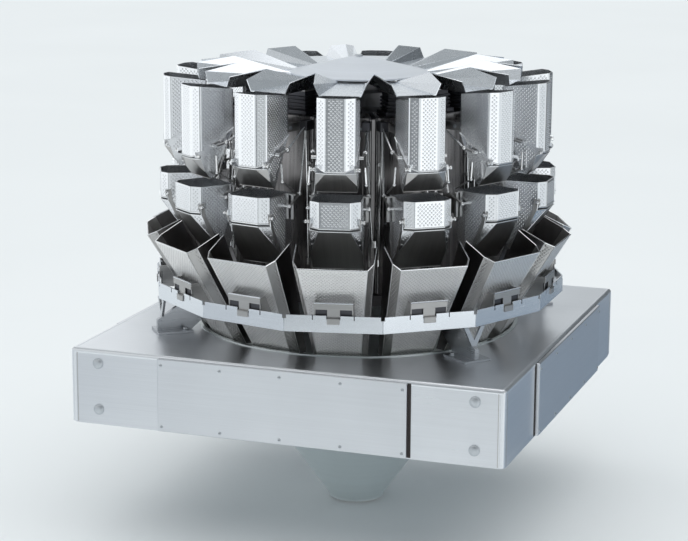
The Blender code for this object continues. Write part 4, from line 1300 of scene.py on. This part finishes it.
@dataclass
class Top:
    """The feeder trays and the dispersion cone in their middle."""

    edge: float = 0.6390
    radius: float = 0.172
    slope: float = math.radians(14.5)
    crown: float = 0.030
    hem: float = 0.003
    hub: float = 0.060
    sheet: float = 0.002

    def build(self) -> None:
        """Dresses the trays and makes the cone with its round crown and rolled hem."""
        dress(["feeder_trays"], TRAY)
        piece = Piece("cone_sheet")
        rise, crown = math.tan(self.slope), self.crown
        apex, under, inside = self.edge + self.radius * rise, self.edge - self.hem, self.edge - self.sheet
        curve = [(r, apex - 0.5 * rise * (crown + r * r / crown)) for r in (0.0, 0.010, 0.020, crown)]
        roll = [
            (self.radius + self.hem * math.sin(a), self.edge - self.hem * math.cos(a))
            for a in (math.radians(120 - 30 * step) for step in range(7))
        ]
        inner = [
            (self.radius - 0.003, inside),
            (self.hub, inside + (self.radius - self.hub) * rise - 0.001),
            (self.hub, under),
            (0.0, under),
        ]
        piece.add(lathe([*curve, *roll, *inner], 128), CONE)
        screw = ((0, -0.006), (0.009, -0.006), (0.009, -0.0015), (0.006, 0.0002), (0, 0.0004))
        piece.add(lathe([(r, apex + z) for r, z in screw], 24), BOLT)
        show(piece.name, piece.mesh(), nodes=["dispersion_cone"])
        log.info("top: trays and cone")


def set_on_stage(name: str, shape: Shape, paint: bpy.types.Material) -> bpy.types.Object:
    """Makes an object of the studio, which is no part of the machine."""
    mesh = bpy.data.meshes.new(name)
    shape.to_mesh(mesh)
    shape.free()
    mesh.materials.append(paint)
    made = linked(name, mesh)
    return made


def plain_paint(name: str, dark: Triple, light: Triple, roughness: float) -> bpy.types.Material:
    """Makes a matt paint that is faintly cloudy between two colours."""
    paint = bpy.data.materials.new(name)
    paint.use_nodes = True
    nodes = Nodes(paint.node_tree)
    place = nodes.add("TexCoord").outputs["Object"]
    cloud = nodes.add("TexNoise", {"Vector": place, "Scale": 0.8, "Detail": 2.0}).outputs["Fac"]
    ramp = nodes.add("ValToRGB", {"Fac": cloud})
    for stop, colour in zip(ramp.color_ramp.elements, (dark, light)):
        stop.color = (*colour, 1.0)
    shader = paint.node_tree.nodes["Principled BSDF"]
    paint.node_tree.links.new(ramp.outputs["Color"], shader.inputs["Base Color"])
    shader.inputs["Roughness"].default_value = roughness
    return paint


@dataclass(frozen=True)
class Softbox:
    """A flat studio lamp that faces the machine."""

    name: str
    azimuth: float
    distance: float
    height: float
    wide: float
    tall: float
    radiance: float
    colour: Triple = (1.0, 1.0, 1.0)
    aim_rise: float = 0.25

    def hang(self) -> None:
        """Adds the lamp at its place, out of the camera's sight."""
        lamp = bpy.data.lights.new(self.name, "AREA")
        lamp.shape = "RECTANGLE"
        lamp.size, lamp.size_y = self.wide, self.tall
        lamp.energy = self.radiance * 4 * self.wide * self.tall
        lamp.color = self.colour
        made = linked(self.name, lamp)
        bearing = math.radians(self.azimuth)
        aim = CENTRE + UP * self.aim_rise
        spot = CENTRE + at(math.sin(bearing), math.cos(bearing), 0) * self.distance
        spot.z = self.height
        made.location = spot
        level = Vector((aim.x - spot.x, aim.y - spot.y, 0)) if self.distance else aim - spot
        made.rotation_euler = level.to_track_quat("-Z", "Y").to_euler()
        made.visible_camera = made.visible_diffuse = False


@dataclass(frozen=True)
class Flag:
    """A dark cloth beside the lamps or on the floor, which shows in the steel alone."""

    name: str
    place: Triple
    size: Triple
    azimuth: float
    colour: Triple = (0.16, 0.17, 0.18)

    def stand(self) -> None:
        """Adds the cloth at its place."""
        bm = bmesh.new()
        turn = Matrix.Translation((CENTRE.x, CENTRE.y, 0)) @ turned(math.radians(self.azimuth))
        matrix = turn @ Matrix.Translation(self.place) @ Matrix.Diagonal((*self.size, 1))
        bmesh.ops.create_cube(bm, size=1.0, matrix=matrix)
        light = tuple(c * 1.15 for c in self.colour)
        cloth = set_on_stage(self.name, bm, plain_paint(f"{self.name}_paint", self.colour, light, 0.95))
        cloth.visible_camera = cloth.visible_diffuse = cloth.visible_shadow = False


@dataclass(frozen=True)
class Studio:
    """The floor, the lamps, the world and the camera."""

    azimuth: float = 19.55
    elevation: float = 12.58
    roll: float = 0.318
    position: Triple = (2.166, -4.565, 1.498)
    lens: float = 2091 / 688 * 36
    floor: float = -0.292
    floor_half: float = 45.0
    lamps: tuple[Softbox, ...] = (
        Softbox("front_left_softbox", -57.0, 3.0, 1.25, 3.3, 2.4, 0.295),
        Softbox("left_softbox", -118.0, 3.0, 1.25, 3.0, 2.4, 0.30),
        Softbox("front_right_softbox", 55.0, 3.0, 1.10, 1.5, 2.7, 0.33),
        Softbox("right_softbox", 100.0, 3.0, 1.10, 2.8, 2.7, 0.034, (0.78, 0.88, 1.0)),
        Softbox("front_top_softbox", -18.0, 2.8, 2.35, 2.8, 1.6, 0.40),
        Softbox("back_softbox", 204.0, 3.6, 2.70, 3.2, 4.2, 0.29, (0.95, 0.98, 1.0)),
        Softbox("top_softbox", 0.0, 0.0, 3.2, 2.8, 2.8, 0.75),
    )
    flags: tuple[Flag, ...] = (
        Flag("front_flag", (0.0, -2.7, 0.95), (1.0, 0.02, 2.3), 0.0, (0.25, 0.26, 0.27)),
        Flag("back_flag", (0.0, -2.7, 0.95), (1.9, 0.02, 2.3), 152.0),
        Flag("right_floor_cloth", (0.0, -2.15, -0.28), (3.6, 2.7, 0.01), 118.0, (0.20, 0.25, 0.31)),
        Flag("left_floor_cloth", (0.0, -2.80, -0.28), (2.2, 2.4, 0.01), -54.0, (0.44, 0.47, 0.50)),
    )
    sky_strength: float = 2.35
    sky_angle: float = math.radians(100)

    def build(self) -> None:
        """Sets up everything around the machine."""
        self._add_camera()
        self._add_floor()
        self._set_world()
        for lamp in self.lamps:
            lamp.hang()
        for flag in self.flags:
            flag.stand()
        self._add_sky()
        bpy.context.scene.view_settings.view_transform = "Standard"

    def _add_camera(self) -> None:
        """Adds the camera that was fitted to the photograph."""
        data = bpy.data.cameras.new("camera")
        data.lens, data.sensor_width = self.lens, 36.0
        data.clip_end = 100.0
        camera = linked("camera", data)
        az, el, roll = (math.radians(v) for v in (self.azimuth, self.elevation, self.roll))
        back = Vector((math.sin(az) * math.cos(el), -math.cos(az) * math.cos(el), math.sin(el)))
        level = Vector((math.cos(az), math.sin(az), 0))
        upright = back.cross(level)
        right = level * math.cos(roll) + upright * math.sin(roll)
        up = upright * math.cos(roll) - level * math.sin(roll)
        turn = Matrix((right, up, back)).transposed().to_4x4()
        camera.matrix_world = Matrix.Translation(self.position) @ turn
        bpy.context.scene.camera = camera

    def _add_sky(self) -> None:
        """Adds the even overhead light that the floor alone takes, with its soft shadow."""
        sky = bpy.data.lights.new("sky", "SUN")
        sky.energy, sky.angle = self.sky_strength, self.sky_angle
        made = linked("sky", sky)
        made.visible_camera = made.visible_glossy = False

    def _add_floor(self) -> None:
        """Adds the plain pale floor just under the funnel's outlet."""
        bm = bmesh.new()
        bmesh.ops.create_grid(bm, x_segments=1, y_segments=1, size=self.floor_half)
        bmesh.ops.translate(bm, verts=bm.verts, vec=(CENTRE.x, CENTRE.y, self.floor))
        set_on_stage("floor", bm, plain_paint("floor_paint", (0.76, 0.79, 0.80), (0.80, 0.83, 0.84), 0.9))

    def _set_world(self) -> None:
        """Lights the studio softly from everywhere."""
        world = bpy.data.worlds.new("studio")
        world.use_nodes = True
        shader = world.node_tree.nodes["Background"]
        shader.inputs["Color"].default_value = (0.86, 0.92, 0.95, 1.0)
        shader.inputs["Strength"].default_value = 0.38
        bpy.context.scene.world = world


def corners(box: tuple[Vector, Vector]) -> list[list[float]]:
    """Turns a box into plain lists of numbers."""
    return [[round(float(c), 5) for c in corner] for corner in box]


def main() -> None:
    """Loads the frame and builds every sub-assembly around it."""
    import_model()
    Studio().build()
    feed = Hopper(
        front_r=0.495,
        depth=0.106,
        width=0.093,
        front_width=0.0476,
        corner_depth=0.014,
        rim=0.637,
        low=0.464,
        hinge_r=0.4905,
        hinge_z=0.470,
    )
    weigh = Hopper(
        front_r=0.506,
        depth=0.111,
        width=0.118,
        front_width=0.0754,
        corner_depth=0.018,
        rim=0.395,
        low=0.331,
        hinge_r=0.490,
        hinge_z=0.346,
    )
    feed_gate = Gate("feed", feed, drop=0.0095, waist=0.030, height=0.049)
    weigh_gate = Gate("weigh", weigh, drop=0.0205, waist=0.0575, height=0.1055)
    dress(["central_body"], BODY)
    head = Head(feed, weigh, feed_gate, weigh_gate)
    for assembly in (Base(), Funnel(), ChuteRing(), Legs(), head, feed_gate, weigh_gate, Top()):
        assembly.build()


if __name__ == "__main__":
    main()
